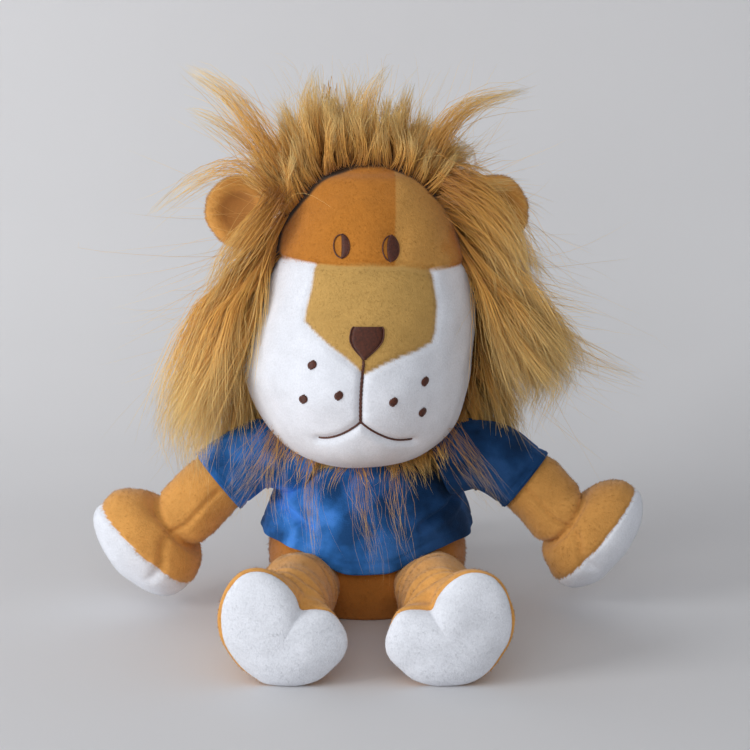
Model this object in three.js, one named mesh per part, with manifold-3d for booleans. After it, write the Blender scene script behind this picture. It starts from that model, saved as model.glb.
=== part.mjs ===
// A seated plush lion in a short-sleeved T-shirt, in millimetres with +Z up.
// The origin is the middle of the flat seat, and the lion faces -Y.

import * as THREE from 'three';
import { mergeVertices } from 'three/addons/utils/BufferGeometryUtils.js';
import Module from 'manifold-3d';

const wasm = await Module();
wasm.setup();

// Cloth, seams and cuts
const skinThickness = 2;
const seamGap = 0.35;
const threadThickness = 0.7;
const overrun = 60;

// Head: a pear that leans forward at the chin
const headWidth = 78.5;
const headFrontDepth = 43;
const headBackDepth = 43;
const headTopHeight = 165;
const headBottomHeight = 56.5;
const headTopSetback = 4;
const headChinReach = 14;
const headTaperShare = 0.14;
const headFullnessShare = 0.56;
const headChinFullnessShare = 0.52;
const headBackSeamSetback = 2;

// Face panels, measured in the front view
const browSeamHeight = 130.5;
const browSeamDrop = 3.5;
const bridgeTopWidth = 38;
const bridgeWidth = 44;
const bridgeWideHeight = 107;
const bridgeTipHeight = 94.5;

// Embroidery
const eyeWidth = 5.2;
const eyeHeight = 8.7;
const eyeSpacing = 17.6;
const eyeCentreHeight = 136.5;
const noseWidth = 11.4;
const noseHeight = 10.3;
const noseBottomHeight = 99.7;
const noseTopHeight = noseBottomHeight + noseHeight;
const noseCornerRadius = 2.4;
const threadLineWidth = 1.3;
const philtrumLength = 22.1;
const philtrumBottomHeight = noseBottomHeight - philtrumLength;
const mouthWidth = 32;
const mouthSag = 6.6;
const mouthCurlShare = 1.8;
const whiskerDotWidth = 3.3;
const whiskerReachShares = [0.48, 0.56, 0.25];
const whiskerHeightShares = [0.34, 0.62, 0.60];

// Ears
const earWidth = 23;
const earHeight = 25;
const earThickness = 8;
const earCentreReach = 45;
const earCentreHeight = 143;
const earSetback = -4;
const earCupDepth = 1.6;
const earFlexAngle = 15;

// Mane: a hood of long hair, thickest at the cheeks
const maneWidth = 147;
const maneFrontDepth = 38;
const maneBackDepth = 50;
const maneTopHeight = 187;
const maneBottomHeight = 61;
const maneSetback = 9;
const maneArmClearance = 3;
const maneFullnessShare = 0.5;
const maneSwellShares = [0.62, 0.69, 0.67, 0.80, 0.94, 1.15, 1.40];
const maneBackSwellShares = [0.92, 1, 1, 0.94];

// Neck: the firm ball on which the head nods and turns
const neckRadius = 11;
const neckHeight = 53;
const neckSetback = 8;
const headNodAngle = 8;
const headTurnAngle = 15;

// Torso
const torsoWidth = 72.5;
const torsoFrontDepth = 36;
const torsoBackDepth = 30;
const torsoTopHeight = 53;
const torsoHiddenBase = 12;
const torsoTopSetback = 9;
const torsoTaperShare = 0.05;
const torsoFullnessShare = 0.55;
const seatThickness = 2;
const pouchWidth = 46;
const pouchDepth = 38;
const pouchHeight = 13;

// T-shirt
const shirtThickness = 1.7;
const collarThickness = 2.3;
const collarInnerRadius = 13.5;
const collarWidth = 3.2;
const hemFrontHeight = 19.5;
const hemSideHeight = 25;
const hemBackHeight = 25;
const hemDipWidth = 17;
const hemDipTopWidth = 34;
const sleeveStartShare = 0.14;
const sleeveEndShare = 0.46;

// Arms, drooping from the shoulder
const armSpineReach = [18, 38, 56, 73, 87];
const armSpineSetback = [-2, -4, -7, -12.5, -17.5];
const armSpineHeight = [46.5, 47.5, 44, 30.5, 16];
const armWidth = 24;
const armDepth = 22;
const pawWidth = 44;
const pawDepth = 27;
const pawRimRadius = 11;
const pawStartShare = 0.63;
const pawFullShare = 0.72;
const palmStartShare = 0.87;
const armLowerAngle = 6;
const armRaiseAngle = 20;
const rightArmRestAngle = 6;

// Legs, straight out in front, with upright feet
const hipReach = 22;
const hipDepth = 20;
const footReach = 27.8;
const footDepth = 102;
const legWidth = 26;
const legHeight = 30;
const hipHeight = 23;
const hipCentreHeight = 11.7;
const thighStartShare = 0.15;
const thighEndShare = 0.5;
const footHalfWidth = 23.6;
const legCentreHeight = 16;
const footFlatDepth = 0.5;
const footStartShare = 0.7;
const soleThickness = 6.5;
const footRadiusShares = [
  0.90, 0.86, 0.80, 0.63, 0.52, 0.68, 0.86, 1.03, 1.12, 1.09, 1.01, 0.95,
  0.88, 0.82, 0.78, 0.75, 0.73, 0.70, 0.69, 0.71, 0.74, 0.79, 0.83, 0.88,
];
const footBottomShare = footRadiusShares[18];
const footCentreHeight = footHalfWidth * footBottomShare - footFlatDepth;

// Tail, lying behind the seat
const tailSpineReach = [0, 1, 4, 10];
const tailSpineSetback = [24, 38, 51, 62];
const tailSpineHeight = [13, 9.5, 8, 7.6];
const tailWidth = 10;
const tuftLength = 20;
const tuftWidth = 14.6;
const tailSwingAngle = 20;

// Facets
const headSides = 32;
const headRings = 18;
const torsoSides = 24;
const torsoRings = 12;
const coreSides = 16;
const coreRings = 10;
const limbSides = 16;
const limbRings = 12;
const limbCoreSides = 10;
const limbCoreRings = 8;
const footSides = 24;
const dotSides = 8;
const swingSteps = 2;
const earSwingSteps = 6;

const colours = {
  orange: '#d9923c',
  brow: '#cc8431',
  tan: '#c99f60',
  white: '#e9ebf3',
  brown: '#4a2416',
  mane: '#b5833f',
  blue: '#2457a6',
  fibre: '#f2f2ee',
};

const xAxis = new THREE.Vector3(1, 0, 0);
const yAxis = new THREE.Vector3(0, 1, 0);
const zAxis = new THREE.Vector3(0, 0, 1);

// Six times a closed body's volume, negative where its faces point inwards
function signedVolume(position, index) {
  const a = new THREE.Vector3();
  const b = new THREE.Vector3();
  const c = new THREE.Vector3();
  let volume = 0;
  for (let i = 0; i < index.length; i += 3) {
    a.fromBufferAttribute(position, index[i]);
    b.fromBufferAttribute(position, index[i + 1]);
    c.fromBufferAttribute(position, index[i + 2]);
    volume += a.dot(b.cross(c));
  }
  return volume;
}

function solidOf(geometry) {
  const bare = new THREE.BufferGeometry();
  bare.setAttribute('position', geometry.getAttribute('position').clone());
  if (geometry.index) bare.setIndex(geometry.index.clone());
  const merged = mergeVertices(bare);
  const index = Uint32Array.from(merged.index.array);
  if (signedVolume(merged.getAttribute('position'), index) < 0) {
    for (let i = 0; i < index.length; i += 3) [index[i], index[i + 1]] = [index[i + 1], index[i]];
  }
  return new wasm.Manifold(new wasm.Mesh({
    numProp: 3,
    vertProperties: Float32Array.from(merged.getAttribute('position').array),
    triVerts: index,
  }));
}

function geometryOf(solid) {
  const mesh = solid.getMesh();
  const geometry = new THREE.BufferGeometry();
  const positions = [];
  for (let i = 0; i < mesh.vertProperties.length; i += mesh.numProp) {
    positions.push(...mesh.vertProperties.slice(i, i + 3));
  }
  geometry.setAttribute('position', new THREE.Float32BufferAttribute(positions, 3));
  geometry.setIndex(Array.from(mesh.triVerts));
  return geometry;
}

// A closed body through rings of equal length, with a pole at each end
function loft(rings, startPole, endPole) {
  const sides = rings[0].length;
  const points = [startPole, ...rings.flat(), endPole];
  const index = [];
  for (let k = 0; k < sides; k += 1) {
    const next = (k + 1) % sides;
    index.push(0, 1 + next, 1 + k);
    for (let j = 0; j < rings.length - 1; j += 1) {
      const low = 1 + j * sides;
      const high = low + sides;
      index.push(low + k, low + next, high + next, low + k, high + next, high + k);
    }
    const last = 1 + (rings.length - 1) * sides;
    index.push(last + k, last + next, points.length - 1);
  }
  const geometry = new THREE.BufferGeometry().setFromPoints(points);
  geometry.setIndex(index);
  return solidOf(geometry);
}

// A value on the smooth curve through evenly spaced table entries
function eased(table, share) {
  const curve = new THREE.SplineCurve(table.map((value, k) => new THREE.Vector2(k, value)));
  return curve.getPoint(share).y;
}

// An upright stuffed form. Its rings swell and taper from the top pole to the bottom one.
function pear(form, grow, sides, ringCount) {
  const profile = (fullness, table) => {
    const shares = [];
    for (let step = 0; step <= ringCount; step += 1) {
      const polar = Math.PI * step / ringCount;
      shares.push(Math.sin(polar) ** fullness * eased(table, (1 - Math.cos(polar)) / 2));
    }
    const peak = Math.max(...shares);
    return shares.map((share) => share / peak);
  };
  const sideShares = profile(form.fullness, form.swellShares);
  const frontShares = profile(form.frontFullness, form.swellShares);
  const backShares = profile(form.fullness, form.backSwellShares ?? form.swellShares);
  const centreHeight = (form.top.z + form.bottom.z) / 2;
  const halfHeight = (form.top.z - form.bottom.z) / 2 + grow;
  const place = (polar) => {
    const centre = form.top.clone().lerp(form.bottom, (1 - Math.cos(polar)) / 2);
    centre.z = centreHeight + halfHeight * Math.cos(polar);
    return centre;
  };
  const rings = [];
  for (let step = 1; step < ringCount; step += 1) {
    const polar = Math.PI * step / ringCount;
    const centre = place(polar);
    const side = (form.halfWidth + grow) * sideShares[step];
    const front = (form.frontDepth + grow) * frontShares[step];
    const back = (form.backDepth + grow) * backShares[step];
    const ring = [];
    for (let k = 0; k < sides; k += 1) {
      const turn = 2 * Math.PI * k / sides;
      const depth = Math.sin(turn) < 0 ? front : back;
      ring.push(new THREE.Vector3(side * Math.cos(turn), depth * Math.sin(turn), 0).add(centre));
    }
    rings.push(ring);
  }
  return loft(rings, place(0), place(Math.PI));
}

// A stuffed limb along a spine, with round ends. section(share, turn) gives its two half sizes,
// and the second of them lies towards the axis called level.
function limb(spine, section, level, capLength, grow, sides, ringCount) {
  const length = spine.getLength();
  const place = (step) => {
    const travel = -Math.cos(Math.PI * step / ringCount);
    const share = (1 + travel) / 2;
    const tangent = spine.getTangentAt(share);
    return { share, tangent, centre: spine.getPointAt(share).addScaledVector(tangent, grow * travel) };
  };
  const rings = [];
  for (let step = 1; step < ringCount; step += 1) {
    const { share, tangent, centre } = place(step);
    const reach = Math.min(share, 1 - share) * length / capLength;
    const cap = reach < 1 ? Math.sqrt(1 - (1 - reach) ** 2) : 1;
    const second = level.clone().addScaledVector(tangent, -tangent.dot(level)).normalize();
    const first = new THREE.Vector3().crossVectors(second, tangent).normalize();
    const ring = [];
    for (let k = 0; k < sides; k += 1) {
      const turn = 2 * Math.PI * k / sides;
      const [across, along] = section(share, turn);
      ring.push(centre.clone()
        .addScaledVector(first, (across + grow) * cap * Math.cos(turn))
        .addScaledVector(second, (along + grow) * cap * Math.sin(turn)));
    }
    rings.push(ring);
  }
  return loft(rings, place(0).centre, place(ringCount).centre);
}

function box(low, high) {
  const size = high.clone().sub(low);
  const geometry = new THREE.BoxGeometry(size.x, size.y, size.z);
  geometry.translate(low.x + size.x / 2, low.y + size.y / 2, low.z + size.z / 2);
  return solidOf(geometry);
}

// A box that is endless beside the part, except where limits set one of its sides
function beyond(limits) {
  const far = overrun * 10;
  const low = new THREE.Vector3(limits.left ?? -far, limits.front ?? -far, limits.bottom ?? -far);
  const high = new THREE.Vector3(limits.right ?? far, limits.back ?? far, limits.top ?? far);
  return box(low, high);
}

// A prism through the front view: the outline lies in X and Z, and the prism runs from front to back
function frontPrism(outline, front, back) {
  const shape = new THREE.Shape(outline.map(([x, z]) => new THREE.Vector2(x, z)));
  const geometry = new THREE.ExtrudeGeometry(shape, { depth: back - front, bevelEnabled: false });
  geometry.rotateX(Math.PI / 2);
  geometry.translate(0, back, 0);
  return solidOf(geometry);
}

// A ribbon of one width along an open line of the front view
function ribbon(line, width) {
  const points = line.map(([x, z]) => new THREE.Vector2(x, z));
  const sideOf = (sign) => points.map((point, k) => {
    const before = points[Math.max(k - 1, 0)];
    const after = points[Math.min(k + 1, points.length - 1)];
    const normal = after.clone().sub(before).normalize().rotateAround(new THREE.Vector2(), Math.PI / 2);
    return [point.x + sign * normal.x * width / 2, point.y + sign * normal.y * width / 2];
  });
  return [...sideOf(1), ...sideOf(-1).reverse()];
}

function ellipse(x, z, width, height, sides) {
  const points = [];
  for (let k = 0; k < sides; k += 1) {
    const turn = 2 * Math.PI * k / sides;
    points.push([x + width / 2 * Math.cos(turn), z + height / 2 * Math.sin(turn)]);
  }
  return points;
}

function turned(solid, pivot, axis, degrees) {
  const geometry = geometryOf(solid);
  geometry.translate(-pivot.x, -pivot.y, -pivot.z);
  geometry.applyMatrix4(new THREE.Matrix4().makeRotationAxis(axis, THREE.MathUtils.degToRad(degrees)));
  geometry.translate(pivot.x, pivot.y, pivot.z);
  return solidOf(geometry);
}

// Everything that a body passes through on its way from one angle to the other
function swept(solid, pivot, axis, from, to, steps = swingSteps) {
  let sweep = turned(solid, pivot, axis, from);
  for (let step = 1; step <= steps; step += 1) {
    const angle = from + (to - from) * step / steps;
    sweep = sweep.add(turned(solid, pivot, axis, angle));
  }
  return sweep;
}

const part = new THREE.Group();

function addPiece(name, solid, colour, roughness = 0.95) {
  const material = new THREE.MeshStandardMaterial({ color: colours[colour], roughness, metalness: 0 });
  const mesh = new THREE.Mesh(geometryOf(solid), material);
  mesh.name = name;
  part.add(mesh);
}

// The stuffed forms

const headForm = {
  halfWidth: headWidth / 2,
  frontDepth: headFrontDepth,
  backDepth: headBackDepth,
  top: new THREE.Vector3(0, headTopSetback, headTopHeight),
  bottom: new THREE.Vector3(0, -headChinReach, headBottomHeight),
  swellShares: [1 - headTaperShare, 1, 1 + headTaperShare],
  fullness: headFullnessShare,
  frontFullness: headChinFullnessShare,
};

const maneForm = {
  halfWidth: maneWidth / 2,
  frontDepth: maneFrontDepth,
  backDepth: maneBackDepth,
  top: new THREE.Vector3(0, maneSetback, maneTopHeight),
  bottom: new THREE.Vector3(0, maneSetback, maneBottomHeight),
  swellShares: maneSwellShares,
  backSwellShares: maneBackSwellShares,
  fullness: maneFullnessShare,
  frontFullness: maneFullnessShare,
};

const torsoForm = {
  halfWidth: torsoWidth / 2,
  frontDepth: torsoFrontDepth,
  backDepth: torsoBackDepth,
  top: new THREE.Vector3(0, torsoTopSetback, torsoTopHeight),
  bottom: new THREE.Vector3(0, 0, -torsoHiddenBase),
  swellShares: [1 - torsoTaperShare, 1, 1 + torsoTaperShare],
  fullness: torsoFullnessShare,
  frontFullness: torsoFullnessShare,
};

const neckPivot = new THREE.Vector3(0, neckSetback, neckHeight);

function ballAt(centre, radius) {
  const geometry = new THREE.SphereGeometry(radius, coreSides, coreRings);
  geometry.translate(centre.x, centre.y, centre.z);
  return solidOf(geometry);
}

const neckDish = ballAt(neckPivot, neckRadius + 2 * seamGap);
const headSkin = pear(headForm, 0, headSides, headRings).subtract(neckDish);
const headHollow = pear(headForm, -skinThickness, coreSides, coreRings);
const torsoSkin = pear(torsoForm, 0, torsoSides, torsoRings).subtract(neckDish);
const headSpace = pear(headForm, seamGap, headSides, headRings);
const headNodSpace = swept(headSpace, neckPivot, xAxis, -headNodAngle, headNodAngle);
const headSwingSpace = swept(headNodSpace, neckPivot, zAxis, -headTurnAngle, headTurnAngle);
const shirtOuter = pear(torsoForm, seamGap + shirtThickness, torsoSides, torsoRings);
const shirtInner = pear(torsoForm, seamGap, torsoSides, torsoRings);
const shirtClearance = pear(torsoForm, shirtThickness + 2 * seamGap, torsoSides, torsoRings);

// Torso: front and back panels and a flat seat round the stuffing and the pellet pouch
function addTorso() {
  const hollow = pear(torsoForm, -skinThickness, coreSides, coreRings).intersect(beyond({ bottom: seatThickness }));
  const shell = torsoSkin.subtract(hollow);
  const wall = shell.intersect(beyond({ bottom: seatThickness + seamGap }));
  addPiece('torso_front_panel', wall.intersect(beyond({ back: -seamGap / 2 })), 'orange');
  addPiece('torso_back_panel', wall.intersect(beyond({ front: seamGap / 2 })), 'orange');
  addPiece('seat_panel', torsoSkin.intersect(beyond({ bottom: 0, top: seatThickness })), 'orange');

  const pouchGeometry = new THREE.SphereGeometry(1, coreSides, coreRings);
  pouchGeometry.scale(pouchWidth / 2, pouchDepth / 2, pouchHeight);
  pouchGeometry.translate(0, 0, seatThickness + seamGap);
  const floor = beyond({ bottom: seatThickness + seamGap });
  const pouch = solidOf(pouchGeometry).intersect(floor);
  const room = new THREE.SphereGeometry(1, coreSides, coreRings);
  room.scale(pouchWidth / 2 + seamGap, pouchDepth / 2 + seamGap, pouchHeight + seamGap);
  room.translate(0, 0, seatThickness + seamGap);
  const stuffing = pear(torsoForm, -skinThickness - seamGap, coreSides, coreRings)
    .intersect(floor)
    .subtract(neckDish)
    .subtract(solidOf(room));
  addPiece('torso_stuffing', stuffing, 'fibre');
  addPiece('pellet_pouch', pouch, 'fibre');
}

// T-shirt body: two panels joined at the sides, with a rib collar. The hem dips between the legs.
function addShirt() {
  const neckline = collarInnerRadius + collarWidth;
  const column = (radius) => {
    const geometry = new THREE.CylinderGeometry(radius, radius, torsoTopHeight + overrun, torsoSides);
    geometry.rotateX(Math.PI / 2);
    geometry.translate(neckPivot.x, neckPivot.y, torsoTopHeight);
    return solidOf(geometry);
  };
  const far = torsoWidth;
  const aboveHem = frontPrism([
    [-hemDipWidth / 2, hemFrontHeight], [hemDipWidth / 2, hemFrontHeight],
    [hemDipTopWidth / 2, hemSideHeight], [far, hemSideHeight],
    [far, far], [-far, far], [-far, hemSideHeight], [-hemDipTopWidth / 2, hemSideHeight],
  ], -far, -seamGap / 2);
  const cloth = shirtOuter.subtract(shirtInner).subtract(column(neckline + seamGap));
  addPiece('shirt_front', cloth.intersect(aboveHem), 'blue');
  addPiece('shirt_back', cloth.intersect(beyond({ front: seamGap / 2, bottom: hemBackHeight })), 'blue');
  const collar = pear(torsoForm, seamGap + collarThickness, torsoSides, torsoRings)
    .subtract(shirtInner)
    .intersect(column(neckline).subtract(column(collarInnerRadius)))
    .intersect(beyond({ bottom: torsoTopHeight / 2 }))
    .subtract(headNodSpace);
  addPiece('shirt_collar', collar, 'blue');
}

// Neck: a firm ball that sits in a dish in the torso and another in the head
function addNeck() {
  addPiece('neck_stuffing', ballAt(neckPivot, neckRadius), 'fibre');
}

// Points of the whisker dots on one side of the face, by the bridge's tip and the mouth
function whiskerSpots(side) {
  const low = philtrumBottomHeight;
  const high = noseTopHeight;
  return whiskerReachShares.map((reach, k) => [
    side * reach * headWidth / 2,
    high - (high - low) * whiskerHeightShares[k],
  ]);
}

// A triangle with round corners, standing on its point
function noseOutline() {
  const radius = noseCornerRadius;
  const corners = [
    [-noseWidth / 2 + radius, noseTopHeight - radius],
    [0, noseBottomHeight + radius],
    [noseWidth / 2 - radius, noseTopHeight - radius],
  ];
  const turnsShares = [[0.25, 0.6], [0.6, 0.9], [0.9, 1.25]];
  return corners.flatMap(([x, z], k) => {
    const [from, to] = turnsShares[k];
    const points = [];
    for (let step = 0; step <= swingSteps; step += 1) {
      const turn = 2 * Math.PI * THREE.MathUtils.lerp(from, to, step / swingSteps);
      points.push([x + radius * Math.cos(turn), z + radius * Math.sin(turn)]);
    }
    return points;
  });
}

// Head: a plush shell in five panels, with satin embroidery lying on it
function addHead() {
  const far = headWidth;
  const front = -headFrontDepth - overrun;
  const shell = headSkin.subtract(headHollow);
  const browLine = [
    [-far, browSeamHeight - browSeamDrop * far / (headWidth / 2)],
    [0, browSeamHeight],
    [far, browSeamHeight - browSeamDrop * far / (headWidth / 2)],
  ];
  const bridge = [
    [-bridgeTopWidth / 2, browSeamHeight + browSeamDrop], [-bridgeWidth / 2, bridgeWideHeight],
    [0, bridgeTipHeight],
    [bridgeWidth / 2, bridgeWideHeight], [bridgeTopWidth / 2, browSeamHeight + browSeamDrop],
  ];
  const seams = frontPrism(ribbon(browLine, seamGap), front, headBackSeamSetback)
    .add(frontPrism(ribbon(bridge, seamGap), front, headBackSeamSetback))
    .add(beyond({ left: -seamGap / 2, right: seamGap / 2, top: bridgeTipHeight, back: headBackSeamSetback }))
    .add(beyond({ front: headBackSeamSetback, back: headBackSeamSetback + seamGap }));
  const panels = shell.subtract(seams);
  const brow = frontPrism([...browLine, [far, headTopHeight + far], [-far, headTopHeight + far]],
    front, headBackSeamSetback);
  const belowBrow = frontPrism([...browLine, [far, -far], [-far, -far]], front, headBackSeamSetback);
  const bridgePrism = frontPrism(bridge, front, headBackSeamSetback);
  const cheeks = belowBrow.subtract(bridgePrism);
  addPiece('forehead_panel', panels.intersect(brow), 'brow');
  addPiece('bridge_panel', panels.intersect(belowBrow).intersect(bridgePrism), 'tan');
  addPiece('cheek_panel_left', panels.intersect(cheeks).intersect(beyond({ right: 0 })), 'white');
  addPiece('cheek_panel_right', panels.intersect(cheeks).intersect(beyond({ left: 0 })), 'white');
  addPiece('head_back_panel', panels.intersect(beyond({ front: headBackSeamSetback })), 'brow');
  const stuffing = pear(headForm, -skinThickness - seamGap, coreSides, coreRings).subtract(neckDish);
  addPiece('head_stuffing', stuffing, 'fibre');

  const thread = pear(headForm, seamGap + threadThickness, headSides, headRings)
    .subtract(pear(headForm, seamGap, headSides, headRings));
  const embroider = (name, outline, colour) => {
    addPiece(name, thread.intersect(frontPrism(outline, front, -headChinReach)), colour, 0.6);
  };
  const eye = (side) => ellipse(side * eyeSpacing / 2, eyeCentreHeight, eyeWidth, eyeHeight, dotSides * 2);
  embroider('eye_left', eye(-1), 'brown');
  embroider('eye_right', eye(1), 'brown');
  embroider('nose', noseOutline(), 'brown');
  const philtrum = [
    [-threadLineWidth / 2, philtrumBottomHeight + threadLineWidth],
    [threadLineWidth / 2, philtrumBottomHeight + threadLineWidth],
    [threadLineWidth / 2, noseBottomHeight - seamGap],
    [-threadLineWidth / 2, noseBottomHeight - seamGap],
  ];
  embroider('philtrum_line', philtrum, 'brown');
  const smile = [];
  for (let step = -dotSides; step <= dotSides; step += 1) {
    const share = step / dotSides;
    const rise = (1 - Math.abs(share)) ** mouthCurlShare;
    smile.push([share * mouthWidth / 2, philtrumBottomHeight - mouthSag * (1 - rise)]);
  }
  embroider('mouth_line', ribbon(smile, threadLineWidth), 'brown');
  for (const [sideName, side] of [['left', -1], ['right', 1]]) {
    whiskerSpots(side).forEach(([x, z], k) => {
      embroider(`whisker_dot_${sideName}_${k + 1}`, ellipse(x, z, whiskerDotWidth, whiskerDotWidth, dotSides), 'brown');
    });
  }
}

// Ears: a cupped front panel and a round back panel, sewn to the side of the head
function earForm(side) {
  const centre = new THREE.Vector3(side * earCentreReach, earSetback, earCentreHeight);
  return {
    halfWidth: earWidth / 2,
    frontDepth: earThickness / 2,
    backDepth: earThickness / 2,
    top: centre.clone().add(new THREE.Vector3(0, 0, earHeight / 2)),
    bottom: centre.clone().add(new THREE.Vector3(0, 0, -earHeight / 2)),
    swellShares: [1, 1],
    fullness: 1,
    frontFullness: 1,
  };
}

function earPivot(side) {
  return new THREE.Vector3(side * (earCentreReach - earWidth / 2), earSetback, earCentreHeight);
}

function addEar(name, side) {
  const pivot = earPivot(side);
  const headClearance = swept(headSpace, pivot, zAxis, -earFlexAngle, earFlexAngle);
  const ear = pear(earForm(side), 0, limbSides, coreRings).subtract(headClearance);
  const cupGeometry = new THREE.SphereGeometry(1, limbSides, coreRings);
  cupGeometry.scale(earWidth / 3, earCupDepth + earThickness / 4, earHeight / 3);
  cupGeometry.translate(side * earCentreReach, earSetback - earThickness / 2 - earThickness / 8, earCentreHeight);
  const backOfFront = earSetback - seamGap / 2;
  const front = ear.intersect(beyond({ back: backOfFront })).subtract(solidOf(cupGeometry));
  addPiece(`ear_${name}_front`, front, 'brow');
  addPiece(`ear_${name}_back`, ear.intersect(beyond({ front: backOfFront + seamGap })), 'brow');
}

// Arms: a bent spine that ends in a wide paw, whose end is the white palm
function armSpine(side) {
  const points = armSpineReach.map((reach, k) => (
    new THREE.Vector3(side * reach, armSpineSetback[k], armSpineHeight[k])));
  return new THREE.CatmullRomCurve3(points, false, 'centripetal');
}

function armSection(share) {
  const open = THREE.MathUtils.smoothstep(share, pawStartShare, pawFullShare);
  return [
    THREE.MathUtils.lerp(armWidth, pawWidth, open) / 2,
    THREE.MathUtils.lerp(armDepth, pawDepth, open) / 2,
  ];
}

function armSolid(side, grow, sides, rings) {
  const solid = limb(armSpine(side), armSection, yAxis, pawRimRadius, grow, sides, rings);
  if (side < 0) return solid;
  return turned(solid, shoulderPivot(side), yAxis, -rightArmRestAngle);
}

function shoulderPivot(side) {
  const reach = (armSpineReach[0] + armSpineReach[1]) / 2;
  return new THREE.Vector3(side * reach, armSpineSetback[0], armSpineHeight[0] + armWidth / 2);
}

// The half space past one share of the arm, square to its spine
function pastArmShare(side, share) {
  const spine = armSpine(side);
  const size = overrun * 2;
  const geometry = new THREE.BoxGeometry(size, size, size);
  geometry.translate(0, 0, size / 2);
  const tangent = spine.getTangentAt(share);
  geometry.applyQuaternion(new THREE.Quaternion().setFromUnitVectors(zAxis, tangent));
  const point = spine.getPointAt(share);
  geometry.translate(point.x, point.y, point.z);
  const solid = solidOf(geometry);
  return side < 0 ? solid : turned(solid, shoulderPivot(side), yAxis, -rightArmRestAngle);
}

function addArm(name, side) {
  const pivot = shoulderPivot(side);
  const bodyClearance = swept(shirtClearance, pivot, yAxis, side * armRaiseAngle, side * -armLowerAngle);
  const headClearance = swept(headSwingSpace, pivot, yAxis, side * armRaiseAngle, 0);
  const outer = armSolid(side, 0, limbSides, limbRings).subtract(bodyClearance).subtract(headClearance);
  const hollow = armSolid(side, -skinThickness, limbCoreSides, limbRings);
  const shell = outer.subtract(hollow);
  const palmGap = seamGap / armSpine(side).getLength();
  addPiece(`arm_${name}`, shell.subtract(pastArmShare(side, palmStartShare)), 'orange');
  addPiece(`palm_${name}`, shell.intersect(pastArmShare(side, palmStartShare + palmGap)), 'white');
  const stuffing = armSolid(side, -skinThickness - seamGap, limbCoreSides, limbRings).subtract(bodyClearance);
  addPiece(`arm_stuffing_${name}`, stuffing, 'fibre');
  const sleeve = armSolid(side, seamGap + shirtThickness, limbSides, limbRings)
    .subtract(armSolid(side, seamGap, limbSides, limbRings))
    .intersect(pastArmShare(side, sleeveStartShare))
    .subtract(pastArmShare(side, sleeveEndShare))
    .subtract(bodyClearance)
    .subtract(headClearance);
  addPiece(`sleeve_${name}`, sleeve, 'blue');
}

// Legs: a level spine whose section opens into the outline of the foot
function legSpine(side) {
  return new THREE.CatmullRomCurve3([
    new THREE.Vector3(side * hipReach, -hipDepth, hipCentreHeight),
    new THREE.Vector3(side * (hipReach + footReach) / 2, -(hipDepth + footDepth) / 2, legCentreHeight),
    new THREE.Vector3(side * footReach, -footDepth, footCentreHeight),
  ]);
}

// The foot's radius towards one turn. The table starts at the inner edge and runs up over the toes.
function footRadius(turn) {
  const count = footRadiusShares.length;
  const place = (turn / (2 * Math.PI) * count + count) % count;
  const low = Math.floor(place) % count;
  const ease = THREE.MathUtils.smoothstep(place - Math.floor(place), 0, 1);
  return footHalfWidth * THREE.MathUtils.lerp(footRadiusShares[low], footRadiusShares[(low + 1) % count], ease);
}

function legSolid(side, grow, sides, rings) {
  const section = (share, turn) => {
    const open = THREE.MathUtils.smoothstep(share, footStartShare, 1 - soleThickness / footDepth);
    const inward = side < 0 ? turn : Math.PI - turn;
    const foot = footRadius(inward);
    const thigh = THREE.MathUtils.smoothstep(share, thighStartShare, thighEndShare);
    const height = THREE.MathUtils.lerp(hipHeight, legHeight, thigh);
    return [THREE.MathUtils.lerp(legWidth / 2, foot, open), THREE.MathUtils.lerp(height / 2, foot, open)];
  };
  return limb(legSpine(side), section, zAxis, soleThickness, grow, sides, rings);
}

function addLeg(name, side) {
  const floor = beyond({ bottom: 0 });
  const sole = -footDepth + soleThickness;
  const outer = legSolid(side, 0, footSides, limbRings)
    .intersect(floor)
    .subtract(pear(torsoForm, seamGap, torsoSides, torsoRings))
    .subtract(shirtClearance.intersect(beyond({ bottom: hemSideHeight - seamGap })));
  const hollow = legSolid(side, -skinThickness, limbCoreSides, limbCoreRings);
  const shell = outer.subtract(hollow);
  addPiece(`leg_${name}`, shell.intersect(beyond({ front: sole })), 'orange');
  addPiece(`sole_${name}`, shell.intersect(beyond({ back: sole - seamGap })), 'white');
  const stuffing = legSolid(side, -skinThickness - seamGap, limbCoreSides, limbCoreRings)
    .subtract(pear(torsoForm, seamGap, torsoSides, torsoRings));
  addPiece(`leg_stuffing_${name}`, stuffing, 'fibre');
}

// Mane: the hood less the head, the ears' flex and the arms' swing. The arms' space is turned
// against the head's nod and turn, because the mane moves with the head.
function addMane() {
  let mane = pear(maneForm, 0, headSides, torsoRings)
    .subtract(headSpace);
  for (const side of [-1, 1]) {
    const ear = pear(earForm(side), 2 * seamGap, limbSides, coreRings);
    mane = mane.subtract(swept(ear, earPivot(side), zAxis, -earFlexAngle, earFlexAngle, earSwingSteps));
    const arm = armSolid(side, shirtThickness + maneArmClearance, limbCoreSides, limbCoreRings);
    const armSpace = swept(arm, shoulderPivot(side), yAxis, 0, -side * armRaiseAngle);
    const nodSpace = swept(armSpace, neckPivot, xAxis, -headNodAngle, headNodAngle);
    mane = mane.subtract(swept(nodSpace, neckPivot, zAxis, -headTurnAngle, headTurnAngle));
  }
  addPiece('mane', mane, 'mane');
}

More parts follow.
